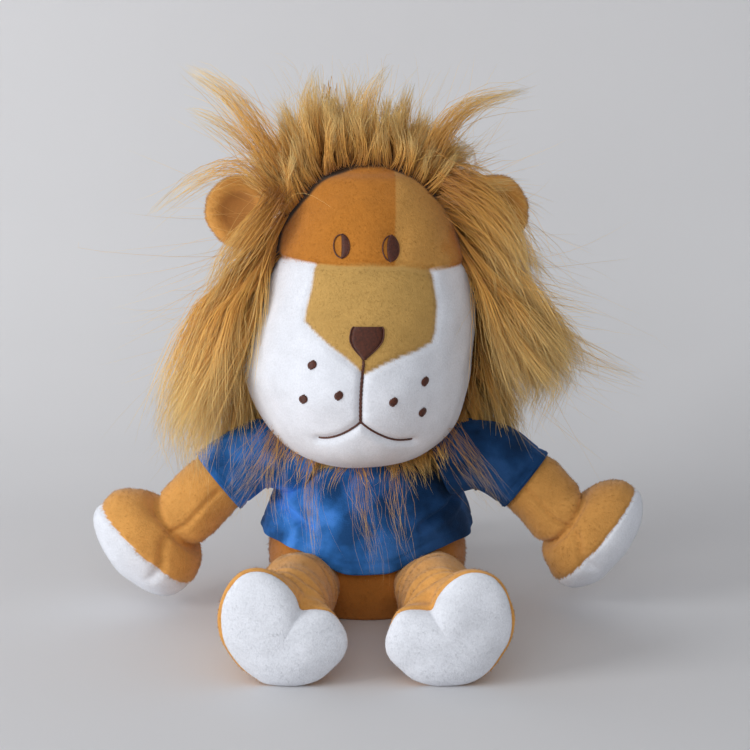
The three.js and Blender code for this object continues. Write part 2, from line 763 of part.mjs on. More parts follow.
// Tail: a plush tube behind the seat with a tuft of mane hair at its tip
function addTail() {
  const points = tailSpineReach.map((reach, k) => new THREE.Vector3(reach, tailSpineSetback[k], tailSpineHeight[k]));
  const spine = new THREE.CatmullRomCurve3(points);
  const section = () => [tailWidth / 2, tailWidth / 2];
  const clearance = pear(torsoForm, seamGap, torsoSides, torsoRings);
  const pivot = new THREE.Vector3(0, torsoBackDepth, tailSpineHeight[0]);
  const tube = limb(spine, section, zAxis, tailWidth / 2, 0, limbCoreSides, limbRings)
    .subtract(swept(clearance, pivot, zAxis, -tailSwingAngle, tailSwingAngle));
  const tip = spine.getPointAt(1);
  const tangent = spine.getTangentAt(1).setZ(0).normalize();
  const tuftSpine = new THREE.LineCurve3(
    tip.clone().addScaledVector(tangent, seamGap),
    tip.clone().addScaledVector(tangent, seamGap + tuftLength),
  );
  const tuftSection = () => [tuftWidth / 2, tuftWidth / 2];
  const tuft = limb(tuftSpine, tuftSection, zAxis, tuftLength / 2, 0, limbCoreSides, limbCoreRings);
  addPiece('tail_tube', tube, 'orange');
  addPiece('tail_tuft', tuft, 'mane');
}

addTorso();
addShirt();
addNeck();
addHead();
addMane();
for (const [name, side] of [['left', -1], ['right', 1]]) {
  addEar(name, side);
  addArm(name, side);
  addLeg(name, side);
}
addTail();

export default part;
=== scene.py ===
# A seated plush lion in a short-sleeved T-shirt, dressed over its frame.
# Metres, +Z up. The lion faces -Y and sits with its seat at the origin.

import math

import bpy
import numpy as np
from bpy.props import FloatProperty, FloatVectorProperty, IntProperty, PointerProperty
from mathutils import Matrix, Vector


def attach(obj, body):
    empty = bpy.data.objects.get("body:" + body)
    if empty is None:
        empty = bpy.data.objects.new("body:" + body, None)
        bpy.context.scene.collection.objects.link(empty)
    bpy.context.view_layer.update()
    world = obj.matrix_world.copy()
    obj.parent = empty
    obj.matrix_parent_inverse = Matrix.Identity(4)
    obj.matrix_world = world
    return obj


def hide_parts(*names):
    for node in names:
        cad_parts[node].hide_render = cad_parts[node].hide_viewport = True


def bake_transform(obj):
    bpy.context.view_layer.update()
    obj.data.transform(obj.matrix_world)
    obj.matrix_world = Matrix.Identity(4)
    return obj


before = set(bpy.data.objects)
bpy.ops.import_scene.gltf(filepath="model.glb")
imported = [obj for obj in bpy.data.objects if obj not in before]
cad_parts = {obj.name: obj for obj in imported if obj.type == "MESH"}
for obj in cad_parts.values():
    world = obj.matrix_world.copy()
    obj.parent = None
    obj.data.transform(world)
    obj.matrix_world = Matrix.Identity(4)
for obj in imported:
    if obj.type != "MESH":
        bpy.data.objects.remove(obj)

bl_info = {
    "name": "Plush lion",
    "version": (1, 0, 0),
    "blender": (4, 5, 0),
    "location": "View3D > Sidebar > Lion",
    "description": "Skins, fur, embroidery and a T-shirt for a seated plush lion",
    "category": "Object",
}

MM = 0.001
SIDES = (("left", -1), ("right", 1))

# Strands differ in this many steps of tone, and have an edge at each third of a turn
TONES = 24
THIRDS = (0.0, 2.0944, 4.1888)


def linear(code):
    """Turns an sRGB hex colour into linear red, green, blue and an alpha of one."""
    values = [int(code[k:k + 2], 16) / 255 for k in (1, 3, 5)]
    return [v / 12.92 if v <= 0.04045 else ((v + 0.055) / 1.055) ** 2.4 for v in values] + [1.0]


# Sizes and colours that a user would change


def length(name, description, millimetres):
    return FloatProperty(name=name, description=description, default=millimetres * MM, unit="LENGTH",
                         precision=5)


def colour(name, description, code):
    return FloatVectorProperty(name=name, description=description, default=linear(code)[:3], size=3,
                               min=0, max=1, subtype="COLOR")


class LionSizes(bpy.types.PropertyGroup):
    pile_length: length("Pile length", "Length of the short pile of the skins", 1.7)
    pile_width: length("Pile width", "Width of one tuft of the short pile at its root", 0.26)
    crown_length: length("Crown length", "Length of the mane over the forehead", 25)
    side_length: length("Side length", "Length of the mane at the cheeks", 70)
    back_length: length("Back length", "Length of the mane behind the head", 52)
    beard_length: length("Beard length", "Length of the hair under the chin", 44)
    hair_width: length("Hair width", "Width of one strand of the mane at its root", 0.27)
    hair_count: IntProperty(name="Strands", description="Strands in each full patch of the mane",
                            default=7000, min=100, max=7100)


class LionColours(bpy.types.PropertyGroup):
    orange: colour("Orange", "Plush of the limbs, ears, neck and tail", "#e6a658")
    brow: colour("Brow", "Plush of the left brow", "#c67e2f")
    # The torso's colour is darker than the limbs' orange: painted shade, for the shade between the legs where
    # the torso shows
    body: colour("Body", "Plush of the torso", "#bc7834")
    pale_brow: colour("Pale brow", "Plush of the right brow", "#d59c51")
    sand: colour("Sand", "Plush of the bridge of the nose", "#cda25c")
    white: colour("White", "Plush of the cheeks, palms and soles", "#eff1f8")
    hide: colour("Fur backing", "Cloth under the mane", "#4a3016")
    hair_root: colour("Hair root", "Mane at the roots", "#bd7c30")
    hair_tip: colour("Hair tip", "Mane at the tips", "#fde09a")
    thread: colour("Thread", "Embroidery of the face", "#4f2311")
    blue: colour("Blue", "Brushed jersey of the T-shirt", "#2a62a4")


def sizes():
    return bpy.context.scene.lion_sizes


def colours():
    return bpy.context.scene.lion_colours


# Stuffed forms


def smooth_value(table, share):
    """Reads the smooth curve through evenly spaced table entries at a share of its length."""
    table = np.asarray(table, float)
    place = np.clip(share, 0, 1) * (len(table) - 1)
    low = np.floor(place).astype(int)
    t = place - low
    before, start, end, after = (table[np.clip(low + k, 0, len(table) - 1)] for k in (-1, 0, 1, 2))
    leave, arrive = (end - before) / 2, (after - start) / 2
    return ((2 * start - 2 * end + leave + arrive) * t ** 3
            + (3 * end - 3 * start - 2 * leave - arrive) * t ** 2 + leave * t + start)


def smoothstep(value, low, high):
    t = np.clip((value - low) / (high - low), 0, 1)
    return t * t * (3 - 2 * t)


def lumps(points, size, seed):
    """Gives soft swells about one size apart, from -1 to 1, at each point."""
    rng = np.random.default_rng(seed)
    total = np.zeros(len(points))
    for _ in range(14):
        wave = rng.normal(size=3)
        wave *= 2 * math.pi / (size * rng.uniform(0.7, 1.4)) / np.linalg.norm(wave)
        total += np.sin(points @ wave + rng.uniform(0, 2 * math.pi))
    return total / 5


def unit(vectors):
    return vectors / np.maximum(np.linalg.norm(vectors, axis=-1, keepdims=True), 1e-12)


def bell(offset, other=0.0):
    """A bump that is one in the middle and fades out past an offset of one, along one or two directions."""
    return np.exp(-offset ** 2 - other ** 2)


def headed(points, x, y, z, fan=0.0):
    """Gives each point the same direction, or one that fans out sideways with the point's own x."""
    way = np.tile(np.array((x, y, z), float), (len(points), 1))
    way[:, 0] += fan * points[:, 0]
    return way


class Pear:
    """An upright stuffed form that swells and tapers from its top pole to its bottom one. Sizes in mm."""

    def __init__(self, width, front, back, top, bottom, swell, fullness, front_fullness=None):
        self.side, self.front, self.back = width / 2 * MM, front * MM, back * MM
        self.top, self.bottom = np.array(top) * MM, np.array(bottom) * MM
        self.swell = swell
        self.fullness, self.front_fullness = fullness, front_fullness or fullness
        self.middle = (self.top[2] + self.bottom[2]) / 2
        self.half = (self.top[2] - self.bottom[2]) / 2

    def profile(self, polar, fullness):
        def raw(angle):
            return np.abs(np.sin(angle)) ** fullness * smooth_value(self.swell, (1 - np.cos(angle)) / 2)
        return raw(polar) / raw(np.linspace(0, math.pi, 181)).max()

    def radii(self, polar, grow=0.0):
        profile = self.profile(polar, self.fullness)
        return ((self.side + grow) * profile, (self.front + grow) * self.profile(polar, self.front_fullness),
                (self.back + grow) * profile)

    def setback(self, polar):
        share = (1 - np.cos(polar)) / 2
        return self.top[1] + (self.bottom[1] - self.top[1]) * share

    def points(self, polar, turn, grow=0.0):
        side, front, back = self.radii(polar, grow)
        depth = np.where(np.sin(turn) < 0, front, back)
        return np.stack([side * np.cos(turn), self.setback(polar) + depth * np.sin(turn),
                         self.middle + (self.half + grow) * np.cos(polar)], axis=-1)

    def polar_at(self, height):
        return np.arccos(np.clip((height - self.middle) / self.half, -1, 1))

    def up(self, polar, turn, base):
        """The direction straight through the form at each base point, inwards or outwards."""
        step = 1e-3
        return unit(np.cross(self.points(polar, turn + step) - base, self.points(polar + step, turn) - base))

    def clear(self, points, margin):
        """Moves points that lie inside the form, grown by the margin, out to its skin."""
        polar = np.arccos(np.clip((points[..., 2] - self.middle) / (self.half + margin), -0.999, 0.999))
        side, front, back = self.radii(polar, margin)
        x, y = points[..., 0], points[..., 1] - self.setback(polar)
        depth = np.where(y < 0, front, back)
        reach = np.sqrt((x / side) ** 2 + (y / depth) ** 2)
        inside = (np.abs(points[..., 2] - self.middle) < self.half + margin) & (reach < 1)
        scale = np.where(inside, 1 / np.maximum(reach, 0.2), 1)
        out = points.copy()
        out[..., 0] = x * scale
        out[..., 1] = y * scale + self.setback(polar)
        return out


class Spine:
    """A smooth curve through points in mm, read by its share of the whole length."""

    def __init__(self, points):
        fixed = np.asarray(points, float) * MM
        ends = np.vstack([2 * fixed[0] - fixed[1], fixed, 2 * fixed[-1] - fixed[-2]])
        line = []
        for k in range(1, len(ends) - 2):
            before, start, end, after = ends[k - 1:k + 3]
            gaps = [max(np.linalg.norm(b - a) ** 0.5, 1e-6)
                    for a, b in ((before, start), (start, end), (end, after))]
            leave = ((start - before) / gaps[0] - (end - before) / (gaps[0] + gaps[1])
                     + (end - start) / gaps[1]) * gaps[1]
            arrive = ((end - start) / gaps[1] - (after - start) / (gaps[1] + gaps[2])
                      + (after - end) / gaps[2]) * gaps[1]
            t = np.linspace(0, 1, 80)[:, None]
            line.append(start + leave * t + (3 * end - 3 * start - 2 * leave - arrive) * t ** 2
                        + (2 * start - 2 * end + leave + arrive) * t ** 3)
        self.line = np.vstack([part[:-1] for part in line] + [fixed[-1:]])
        steps = np.linalg.norm(np.diff(self.line, axis=0), axis=1)
        self.travel = np.concatenate([[0], np.cumsum(steps)])
        self.length = self.travel[-1]

    def at(self, share):
        return np.stack([np.interp(share * self.length, self.travel, self.line[:, k]) for k in range(3)],
                        axis=-1)

    def tangent(self, share):
        return unit(self.at(np.minimum(share + 0.01, 1)) - self.at(np.maximum(share - 0.01, 0)))


def limb_points(spine, section, level, cap, polar, turn):
    """Places points of a stuffed limb: polar runs along the spine and turn round it.

    section gives the half sizes, level the direction of the second one, and cap the length of a round end."""
    share = (1 - np.cos(polar)) / 2
    tangent = spine.tangent(share)
    reach = np.clip(np.minimum(share, 1 - share) * spine.length / cap, 0, 1)
    round_end = np.sqrt(np.maximum(1 - (1 - reach) ** 2, 0))
    level = np.broadcast_to(np.asarray(level, float), tangent.shape)
    second = unit(level - tangent * (tangent * level).sum(-1, keepdims=True))
    first = unit(np.cross(second, tangent))
    across, along = section(share, turn)
    return (spine.at(share) + first * (across * round_end * np.cos(turn))[..., None]
            + second * (along * round_end * np.sin(turn))[..., None])


HEAD = Pear(width=78.5, front=43, back=43, top=(0, 4, 165), bottom=(0, -14, 56.5), swell=(0.86, 1, 1.14),
            fullness=0.56, front_fullness=0.52)
TORSO = Pear(width=72.5, front=36, back=30, top=(0, 9, 53), bottom=(0, 0, -12), swell=(0.95, 1, 1.05),
             fullness=0.55)
SHIRT_GAP = 0.35 * MM
SHIRT_THICKNESS = 1.7 * MM
NECK = np.array((0, 8, 53)) * MM


# Meshes


def add_ball(name, segments, rings):
    """Adds a ball of radius one and gives it with the polar angle and turn of each of its points."""
    bpy.ops.object.select_all(action="DESELECT")
    bpy.ops.mesh.primitive_uv_sphere_add(segments=segments, ring_count=rings, radius=1)
    piece = bpy.context.object
    piece.name = piece.data.name = name
    points = places(piece)
    polar = np.arccos(np.clip(points[:, 2], -1, 1))
    turn = np.arctan2(points[:, 1], points[:, 0])
    return piece, polar, turn


def places(piece):
    points = np.empty(len(piece.data.vertices) * 3, np.float32)
    piece.data.vertices.foreach_get("co", points)
    return points.reshape(-1, 3).astype(float)


def set_places(piece, points):
    piece.data.vertices.foreach_set("co", np.asarray(points, np.float32).ravel())
    piece.data.update()


def normals(piece):
    values = np.empty(len(piece.data.vertices) * 3, np.float32)
    piece.data.vertices.foreach_get("normal", values)
    return values.reshape(-1, 3).astype(float)


def smooth(piece):
    piece.data.polygons.foreach_set("use_smooth", np.ones(len(piece.data.polygons), bool))
    piece.data.update()


def mesh_piece(name, points, faces, uv=None):
    """Makes a mesh from points and arrays of faces. uv holds a strand place for each point."""
    mesh = bpy.data.meshes.new(name)
    corners = np.concatenate([f.ravel() for f in faces]).astype(np.int32)
    counts = np.concatenate([np.full(len(f), f.shape[1]) for f in faces])
    mesh.vertices.add(len(points))
    mesh.vertices.foreach_set("co", np.asarray(points, np.float32).ravel())
    mesh.loops.add(len(corners))
    mesh.loops.foreach_set("vertex_index", corners)
    mesh.polygons.add(len(counts))
    mesh.polygons.foreach_set("loop_start", np.concatenate([[0], np.cumsum(counts)[:-1]]).astype(np.int32))
    mesh.update(calc_edges=True)
    if uv is not None:
        for layer in ("strand", "OFBake"):
            mesh.uv_layers.new(name=layer).uv.foreach_set("vector", uv[corners].astype(np.float32).ravel())
    piece = bpy.data.objects.new(name, mesh)
    bpy.context.collection.objects.link(piece)
    smooth(piece)
    return piece


def paint(piece, tints):
    """Stores one colour for all points or one for each, which the plush reads."""
    layer = piece.data.color_attributes.new(name="panel", type="FLOAT_COLOR", domain="POINT")
    values = np.ones((len(piece.data.vertices), 4), np.float32)
    values[:, :3] = np.asarray(tints)
    layer.data.foreach_set("color", values.ravel())


def mixed(first, second, share):
    return np.asarray(first) * (1 - share)[:, None] + np.asarray(second) * share[:, None]


def even_samples(piece, weights, count, seed):
    """Scatters points over a skin by area, where the weight of its points is not zero."""
    mesh = piece.data
    mesh.calc_loop_triangles()
    corners = np.empty(len(mesh.loop_triangles) * 3, np.int32)
    mesh.loop_triangles.foreach_get("vertices", corners)
    corners = corners.reshape(-1, 3)
    points, ups = places(piece), normals(piece)
    a, b, c = points[corners].transpose(1, 0, 2)
    area = np.linalg.norm(np.cross(b - a, c - a), axis=1) / 2 * np.asarray(weights, float)[corners].mean(1)
    rng = np.random.default_rng(seed)
    chosen = rng.choice(len(area), count, p=area / area.sum())
    u, v = rng.random((2, count))
    u, v = np.where(u + v > 1, 1 - u, u), np.where(u + v > 1, 1 - v, v)
    parts = np.stack([1 - u - v, u, v], axis=1)[..., None]
    return (points[corners[chosen]] * parts).sum(1), unit((ups[corners[chosen]] * parts).sum(1)), rng


def dress(skin, tints, body, fill, *nodes, slot="orange_plush"):
    """Finishes a stuffed skin, which takes the place of the named parts and moves with a body."""
    smooth(skin)
    paint(skin, tints)
    skin.data.materials.append(plush_material())
    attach(skin, body)
    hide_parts(*nodes)


def pile(name, skin, weights, count, finish, tint, body, lay, fan=0.0, size=1.0,
         splay=0.28, lean_by=1.3, seed=1):
    """Plants tufts of short pile on a skin. lay is the way in which the nap leans."""
    roots, ups, rng = even_samples(skin, weights, count, seed)
    lean = headed(roots, *lay, fan)
    lean = unit(lean - ups * (lean * ups).sum(1, keepdims=True))
    way = unit(ups + lean * lean_by + splay * rng.normal(size=(count, 3)))
    reach = sizes().pile_length * size * rng.uniform(0.65, 1.2, count)[:, None]
    half = sizes().pile_width * size / 2 * rng.uniform(0.7, 1.25, count)[:, None]
    first = unit(np.cross(way, rng.normal(size=(count, 3))))
    second = np.cross(way, first)
    base = roots - ups * sizes().pile_length * size * 0.25
    rim = [base + half * (math.cos(turn) * first + math.sin(turn) * second) for turn in THIRDS]
    points = np.stack(rim + [base + way * reach], axis=1).reshape(-1, 3)
    # No tuft reaches through the floor
    points[:, 2] = np.maximum(points[:, 2], 0)
    # The nap was stroked both ways, so its tone changes in patches 7 mm wide and in tufts 2 mm wide
    shade = 0.5 + 0.22 * lumps(roots, 0.007, seed) + 0.28 * lumps(roots, 0.002, seed + 50)
    shade = np.clip(shade + 0.12 * rng.normal(size=count), 0, 0.999)
    shade = (np.floor(shade * TONES) + 0.5) / TONES
    uv = np.empty((count, 4, 2))
    uv[:, :, 0] = shade[:, None] + np.array([-0.018, 0.018, 0.0, 0.0])
    uv[:, :, 1] = np.array([0.02, 0.02, 0.06, 0.98])
    start = np.arange(count)[:, None] * 4
    faces = np.concatenate([start + np.array(f) for f in ((0, 1, 3), (1, 2, 3), (2, 0, 3), (0, 2, 1))])
    piece = mesh_piece(name, points, [faces], uv.reshape(-1, 2))
    # So short a pile is lit as its skin is, like velvet
    shading = unit(ups + 0.3 * rng.normal(size=(count, 3)))
    piece.data.normals_split_custom_set_from_vertices(np.repeat(shading, 4, axis=0).tolist())
    piece.data.materials.append(pile_material(finish, tint))
    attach(piece, body)


def strands(name, paths, half_widths, tones, body="head"):
    """Turns paths (strands, steps, 3) into closed three-sided hairs that end in a point.

    tones holds a whole number for each hair, from 0 for the darkest up to TONES - 1."""
    count, steps, _ = paths.shape
    way = unit(np.gradient(paths, axis=1))
    rng = np.random.default_rng(len(name))
    first = unit(np.cross(way, rng.normal(size=(count, 1, 3))))
    second = np.cross(way, first)
    taper = np.sqrt(np.linspace(1, 0.05, steps))[None, :, None] * half_widths[:, None, None]
    rings = np.stack([paths + taper * (math.cos(turn) * first + math.sin(turn) * second)
                      for turn in THIRDS], axis=2)
    each = 3 * (steps - 1) + 1
    points = np.empty((count, each, 3))
    points[:, :-1] = rings[:, :-1].reshape(count, -1, 3)
    points[:, -1] = paths[:, -1]
    uv = np.empty((count, each, 2))
    uv[:, :, 0] = (tones[:, None] + 0.5) / TONES
    uv[:, :-1, 0] += np.tile([-0.013, 0.013, 0.0], steps - 1)
    uv[:, :-1, 1] = np.repeat(np.linspace(0.02, 0.98, steps)[:-1], 3) + np.tile([0, 0, 0.01], steps - 1)
    uv[:, -1, 1] = 0.98
    start = np.arange(count)[:, None] * each
    quads, ends = [], []
    for k in range(3):
        following = (k + 1) % 3
        for step in range(steps - 2):
            low = 3 * step
            quads.append(start + np.array([low + k, low + following, low + 3 + following, low + 3 + k]))
        last = 3 * (steps - 2)
        ends.append(start + np.array([last + k, last + following, each - 1]))
    ends.append(start + np.array([0, 2, 1]))
    piece = mesh_piece(name, points.reshape(-1, 3), [np.concatenate(quads), np.concatenate(ends)],
                       uv.reshape(-1, 2))
    piece.data.materials.append(hair_material())
    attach(piece, body)
    return piece


# Materials


def add_node(tree, kind, inputs=None, **settings):
    """Adds a node with its settings. An input takes a value or another node's output."""
    node = tree.nodes.new(kind)
    for key, value in settings.items():
        setattr(node, key, value)
    for key, value in (inputs or {}).items():
        if isinstance(value, bpy.types.NodeSocket):
            tree.links.new(value, node.inputs[key])
        else:
            node.inputs[key].default_value = value
    return node


def new_material(name, **constants):
    """Starts a material with its surface shader, whose unchanging values are set on the shader itself."""
    material = bpy.data.materials.new(name)
    material.use_nodes = True
    tree = material.node_tree
    tree.nodes.clear()
    shader = add_node(tree, "ShaderNodeBsdfPrincipled",
                      {key.replace("_", " "): value for key, value in constants.items()})
    add_node(tree, "ShaderNodeOutputMaterial", {"Surface": shader.outputs["BSDF"]})
    return material, tree, shader


def noise(tree, size, detail):
    """Soft noise in the piece's own space, whose swells are about one size apart, in metres."""
    place = add_node(tree, "ShaderNodeTexCoord").outputs["Object"]
    node = add_node(tree, "ShaderNodeTexNoise", {"Vector": place, "Scale": 1 / size, "Detail": detail})
    return node.outputs["Fac"]


def ramp(tree, value, stops):
    """Reads a colour from stops, each a place from 0 to 1 with its red, green and blue."""
    node = add_node(tree, "ShaderNodeValToRGB", {"Fac": value})
    elements = node.color_ramp.elements
    while len(elements) > 1:
        elements.remove(elements[-1])
    elements[0].position, elements[0].color = stops[0][0], [*stops[0][1], 1]
    for place, tint in stops[1:]:
        elements.new(place).color = [*tint, 1]
    return node.outputs["Color"]


def mapped(tree, value, low, high, at_low, at_high):
    """Stretches a value from one range to another."""
    node = add_node(tree, "ShaderNodeMapRange", {"Value": value, "From Min": low, "From Max": high,
                                                 "To Min": at_low, "To Max": at_high})
    return node.outputs["Result"]


def tint_surface(tree, shader, tint, gain):
    """Colours the surface with a tint times a gain."""
    tone = add_node(tree, "ShaderNodeVectorMath", {0: tint, "Scale": gain}, operation="SCALE")
    tree.links.new(tone.outputs["Vector"], shader.inputs["Base Color"])


def roughen(tree, shader, height, strength):
    """Gives the surface a grain up to 0.4 mm deep."""
    bump = add_node(tree, "ShaderNodeBump", {"Height": height, "Strength": strength, "Distance": 0.4 * MM})
    tree.links.new(bump.outputs["Normal"], shader.inputs["Normal"])


def paper_material(name, code):
    """Seamless paper: matt and even, with a faint tooth."""
    material, tree, shader = new_material(name, Roughness=0.9, Specular_IOR_Level=0.2)
    paper = np.array(linear(code)[:3])
    tone = ramp(tree, noise(tree, 1 / 9, 2.0), [(0.3, paper), (0.7, paper * 0.985)])
    tree.links.new(tone, shader.inputs["Base Color"])
    # Seen from behind, the sheet lets the camera through
    back = add_node(tree, "ShaderNodeNewGeometry").outputs["Backfacing"]
    seen = add_node(tree, "ShaderNodeLightPath").outputs["Is Camera Ray"]
    both = add_node(tree, "ShaderNodeMath", {0: back, 1: seen}, operation="MULTIPLY").outputs["Value"]
    clear = add_node(tree, "ShaderNodeBsdfTransparent").outputs["BSDF"]
    mix = add_node(tree, "ShaderNodeMixShader", {0: both, 1: shader.outputs["BSDF"], 2: clear})
    tree.links.new(mix.outputs["Shader"], tree.nodes["Material Output"].inputs["Surface"])
    return material


def plush_material():
    """Short pile plush, a brushed polyester knit: matt, mottled where the nap was stroked two ways."""
    name = "Brushed polyester plush"
    if name in bpy.data.materials:
        return bpy.data.materials[name]
    material, tree, shader = new_material(name, Roughness=0.95, Specular_IOR_Level=0.15, Sheen_Weight=0.25,
                                          Sheen_Roughness=0.5)
    panel = add_node(tree, "ShaderNodeAttribute", attribute_name="panel").outputs["Color"]
    # Nap patches are about 6 mm wide and the pile's own grain about 0.6 mm
    patches, grain = noise(tree, 0.006, 3.0), noise(tree, 0.0006, 2.0)
    value = add_node(tree, "ShaderNodeMath", {0: patches, 1: grain}, operation="ADD").outputs["Value"]
    tint_surface(tree, shader, panel, mapped(tree, value, 0.6, 1.4, 0.86, 1.04))
    roughen(tree, shader, grain, 0.3)
    return material


def fibre_material(name, root, middle, tip, spread, roughness, specular):
    """Fibre whose tone runs from root to tip and differs from strand to strand by a spread."""
    if name in bpy.data.materials:
        return bpy.data.materials[name]
    material, tree, shader = new_material(name, Roughness=roughness, Specular_IOR_Level=specular,
                                          Sheen_Weight=0.15, Sheen_Roughness=0.4)
    strand = add_node(tree, "ShaderNodeUVMap", uv_map="strand").outputs["UV"]
    split = add_node(tree, "ShaderNodeSeparateXYZ", {"Vector": strand}).outputs
    along = ramp(tree, split["Y"], [(0.0, root), (0.45, middle), (1.0, tip)])
    tint_surface(tree, shader, along, mapped(tree, split["X"], 0.0, 1.0, 1 - spread, 1 + spread))
    return material


def pile_material(finish, tint):
    """Short pile in the colour of the skin under it. White pile is the more even."""
    tint = np.asarray(tint)
    deep, spread = (0.985, 0.03) if finish == "white" else (0.88, 0.17)
    return fibre_material(f"Plush pile, {finish}", tint * deep, tint * (1 + deep) / 2,
                          np.minimum(tint * 1.08, 0.97), spread, 0.85, 0.1)


def hair_material():
    """Long acrylic pile of faux fur: brown at the root, pale gold at the tip, with a soft shine."""
    root, tip = np.array(colours().hair_root), np.array(colours().hair_tip)
    return fibre_material("Acrylic faux fur", root, (root + tip) / 2 * (1.12, 0.97, 0.58), tip,
                          0.22, 0.5, 0.35)


def thread_material():
    """Rayon embroidery thread in satin stitch: dark brown with a silky shine along each stitch."""
    name = "Rayon embroidery thread"
    if name in bpy.data.materials:
        return bpy.data.materials[name]
    material, tree, shader = new_material(name, Roughness=0.42, Specular_IOR_Level=0.45, Sheen_Weight=0.1)
    tint = np.array(colours().thread)
    tone = ramp(tree, noise(tree, 0.0008, 2.0), [(0.3, tint * 0.7), (0.7, tint * 1.5)])
    tree.links.new(tone, shader.inputs["Base Color"])
    return material


def jersey_material():
    """Brushed polyester jersey: blue, with a short nap that shows lighter where it was stroked up, and
    painted light and shade that run from its lit left to its shaded right.
    """
    name = "Brushed polyester jersey"
    if name in bpy.data.materials:
        return bpy.data.materials[name]
    material, tree, shader = new_material(name, Roughness=0.9, Specular_IOR_Level=0.15, Sheen_Weight=0.3,
                                          Sheen_Roughness=0.45, Sheen_Tint=linear("#6fa0e6"))
    tint = np.array(colours().blue)
    tone = ramp(tree, noise(tree, 0.014, 4.0),
                [(0.36, tint * 0.45), (0.5, tint), (0.64, np.minimum(tint * 1.6 + 0.02, 1))])
    # Painted light and shade: the cloth is made lighter on its left and darker towards its right, for the
    # light from the left and the shadow that its right side lies in
    place = add_node(tree, "ShaderNodeTexCoord").outputs["Object"]
    across = add_node(tree, "ShaderNodeSeparateXYZ", {"Vector": place}).outputs["X"]
    tint_surface(tree, shader, tone, mapped(tree, across, -0.004, 0.018, 1.3, 0.38))
    roughen(tree, shader, noise(tree, 0.0005, 2.0), 0.7)
    return material


# Head


# The face in the front view, in mm: the brow seam, where the brow's two colours meet, the outline of the
# bridge panel, the mouth's middle height with its reach and sag to each side, and how far the stuffing leans
BROW = np.array([(-39, 128.6), (-28, 129.6), (0, 130.4), (10, 130), (21, 127.6), (39, 126.6)])
BROW_SPLIT = 8.5
BRIDGE = [(-19, 134), (-20.5, 122), (-21.8, 115), (-22, 110.8), (-17.4, 107.3), (-12.2, 103.6), (-6.3, 99.9),
          (-2.4, 97), (0.3, 94.3), (4.2, 96.3), (8, 98.2), (12.7, 100), (18, 101.5), (23, 103.7), (23.8, 107),
          (23.4, 116), (21.5, 125), (19.8, 134)]
MOUTH_TOP, MOUTH_REACH, MOUTH_SAG = 77.6, (14.6, 18.3), (7.0, 8.8)
JAW_SHIFT, BROW_SHIFT = -2.0, 1.5


def face_shift(height_mm):
    """The stuffed jaw sits a little to the left and the brow a little to the right."""
    return JAW_SHIFT + (BROW_SHIFT - JAW_SHIFT) * smoothstep(height_mm, 82, 126)


def line_distance(x, z, line):
    """Distance from points of the front view to an open line, in mm."""
    best = np.full(x.shape, 1e9)
    for (ax, az), (bx, bz) in zip(line[:-1], line[1:]):
        dx, dz = bx - ax, bz - az
        t = np.clip(((x - ax) * dx + (z - az) * dz) / (dx * dx + dz * dz), 0, 1)
        best = np.minimum(best, np.hypot(x - ax - t * dx, z - az - t * dz))
    return best


def inside_outline(x, z, outline):
    """Tells which points of the front view lie inside a closed outline."""
    inside = np.zeros(x.shape, bool)
    for (ax, az), (bx, bz) in zip(outline, outline[1:] + outline[:1]):
        crosses = (az > z) != (bz > z)
        with np.errstate(divide="ignore", invalid="ignore"):
            inside ^= crosses & (x < (bx - ax) * (z - az) / (bz - az) + ax)
    return inside


def brow_height(x):
    return np.interp(x, BROW[:, 0], BROW[:, 1])


def mouth_line():
    share = np.linspace(-1, 1, 33)
    reach, sag = (np.where(share < 0, *sides) for sides in (MOUTH_REACH, MOUTH_SAG))
    return list(zip(share * reach, MOUTH_TOP - sag * (1 - (1 - np.abs(share)) ** 1.8)))


def crown_height(x, top):
    """Height of the arch in which the mane begins over the brow, in mm."""
    return top - 0.0195 * np.maximum(np.abs(x) - 8, 0) ** 2


def hair_edge(points):
    """How far a point of the head lies inside the mane's patch, in metres. The face is negative."""
    x, y, z = points.T / MM
    over_brow = z - crown_height(x, 161)
    beside_brow = np.abs(x) - np.interp(z, (112, 118, 126, 134, 143, 150, 157),
                                        (60, 38, 32.5, 31, 29.5, 27.5, 21))
    temples = y - np.interp(z, (56, 66, 80, 95, 110, 125, 138, 150, 165),
                            (-16, -8, -2, -3, -5, -9, -13, -18, -18))
    return np.maximum(np.maximum(over_brow, temples), beside_brow) * MM


def shape_head(polar, turn):
    """Gives the head's stuffed form and how far its seams, lobes and dents push out of it, in mm."""
    base = HEAD.points(polar, turn)
    x, y, z = base.T / MM
    front = smoothstep(-y, 4, 14)
    push = 0.35 * lumps(base, 0.016, 3)
    # The seams of the brow and the bridge
    brow = z - brow_height(x)
    push -= front * 0.9 * bell(brow / 1.1)
    push -= front * 0.8 * bell(line_distance(x, z, BRIDGE)) * (brow < 1)
    # The groove under the nose, the muzzle's two lobes, the mouth and the chin
    below = smoothstep(-(z - 97), 0, 3)
    push -= front * below * smoothstep(z, 75, 81) * 1.3 * bell(x / 1.5)
    push += front * 1.3 * bell((np.abs(x) - 12) / 9, (z - 88) / 9)
    push -= front * 1.5 * bell(line_distance(x, z, mouth_line()) / 1.5)
    push += front * 0.8 * bell(x / 11, (z - 66) / 6)
    # The hollows of the eyes, and the seam under the mane
    push -= front * 0.9 * bell((np.abs(x) - 8.8) / 4, (z - 136.5) / 6)
    push -= front * 1.4 * bell((z - crown_height(x, 160)) / 2.2)
    return base, push


def finish_head(points):
    """Shifts the jaw as the stuffing does, and fills the left cheek out."""
    points = points.copy()
    x, z = points[:, 0] / MM, points[:, 2] / MM
    points[:, 0] += (face_shift(z) - 3.6 * bell((z - 91) / 17) * smoothstep(-x, 12, 38)) * MM
    return points


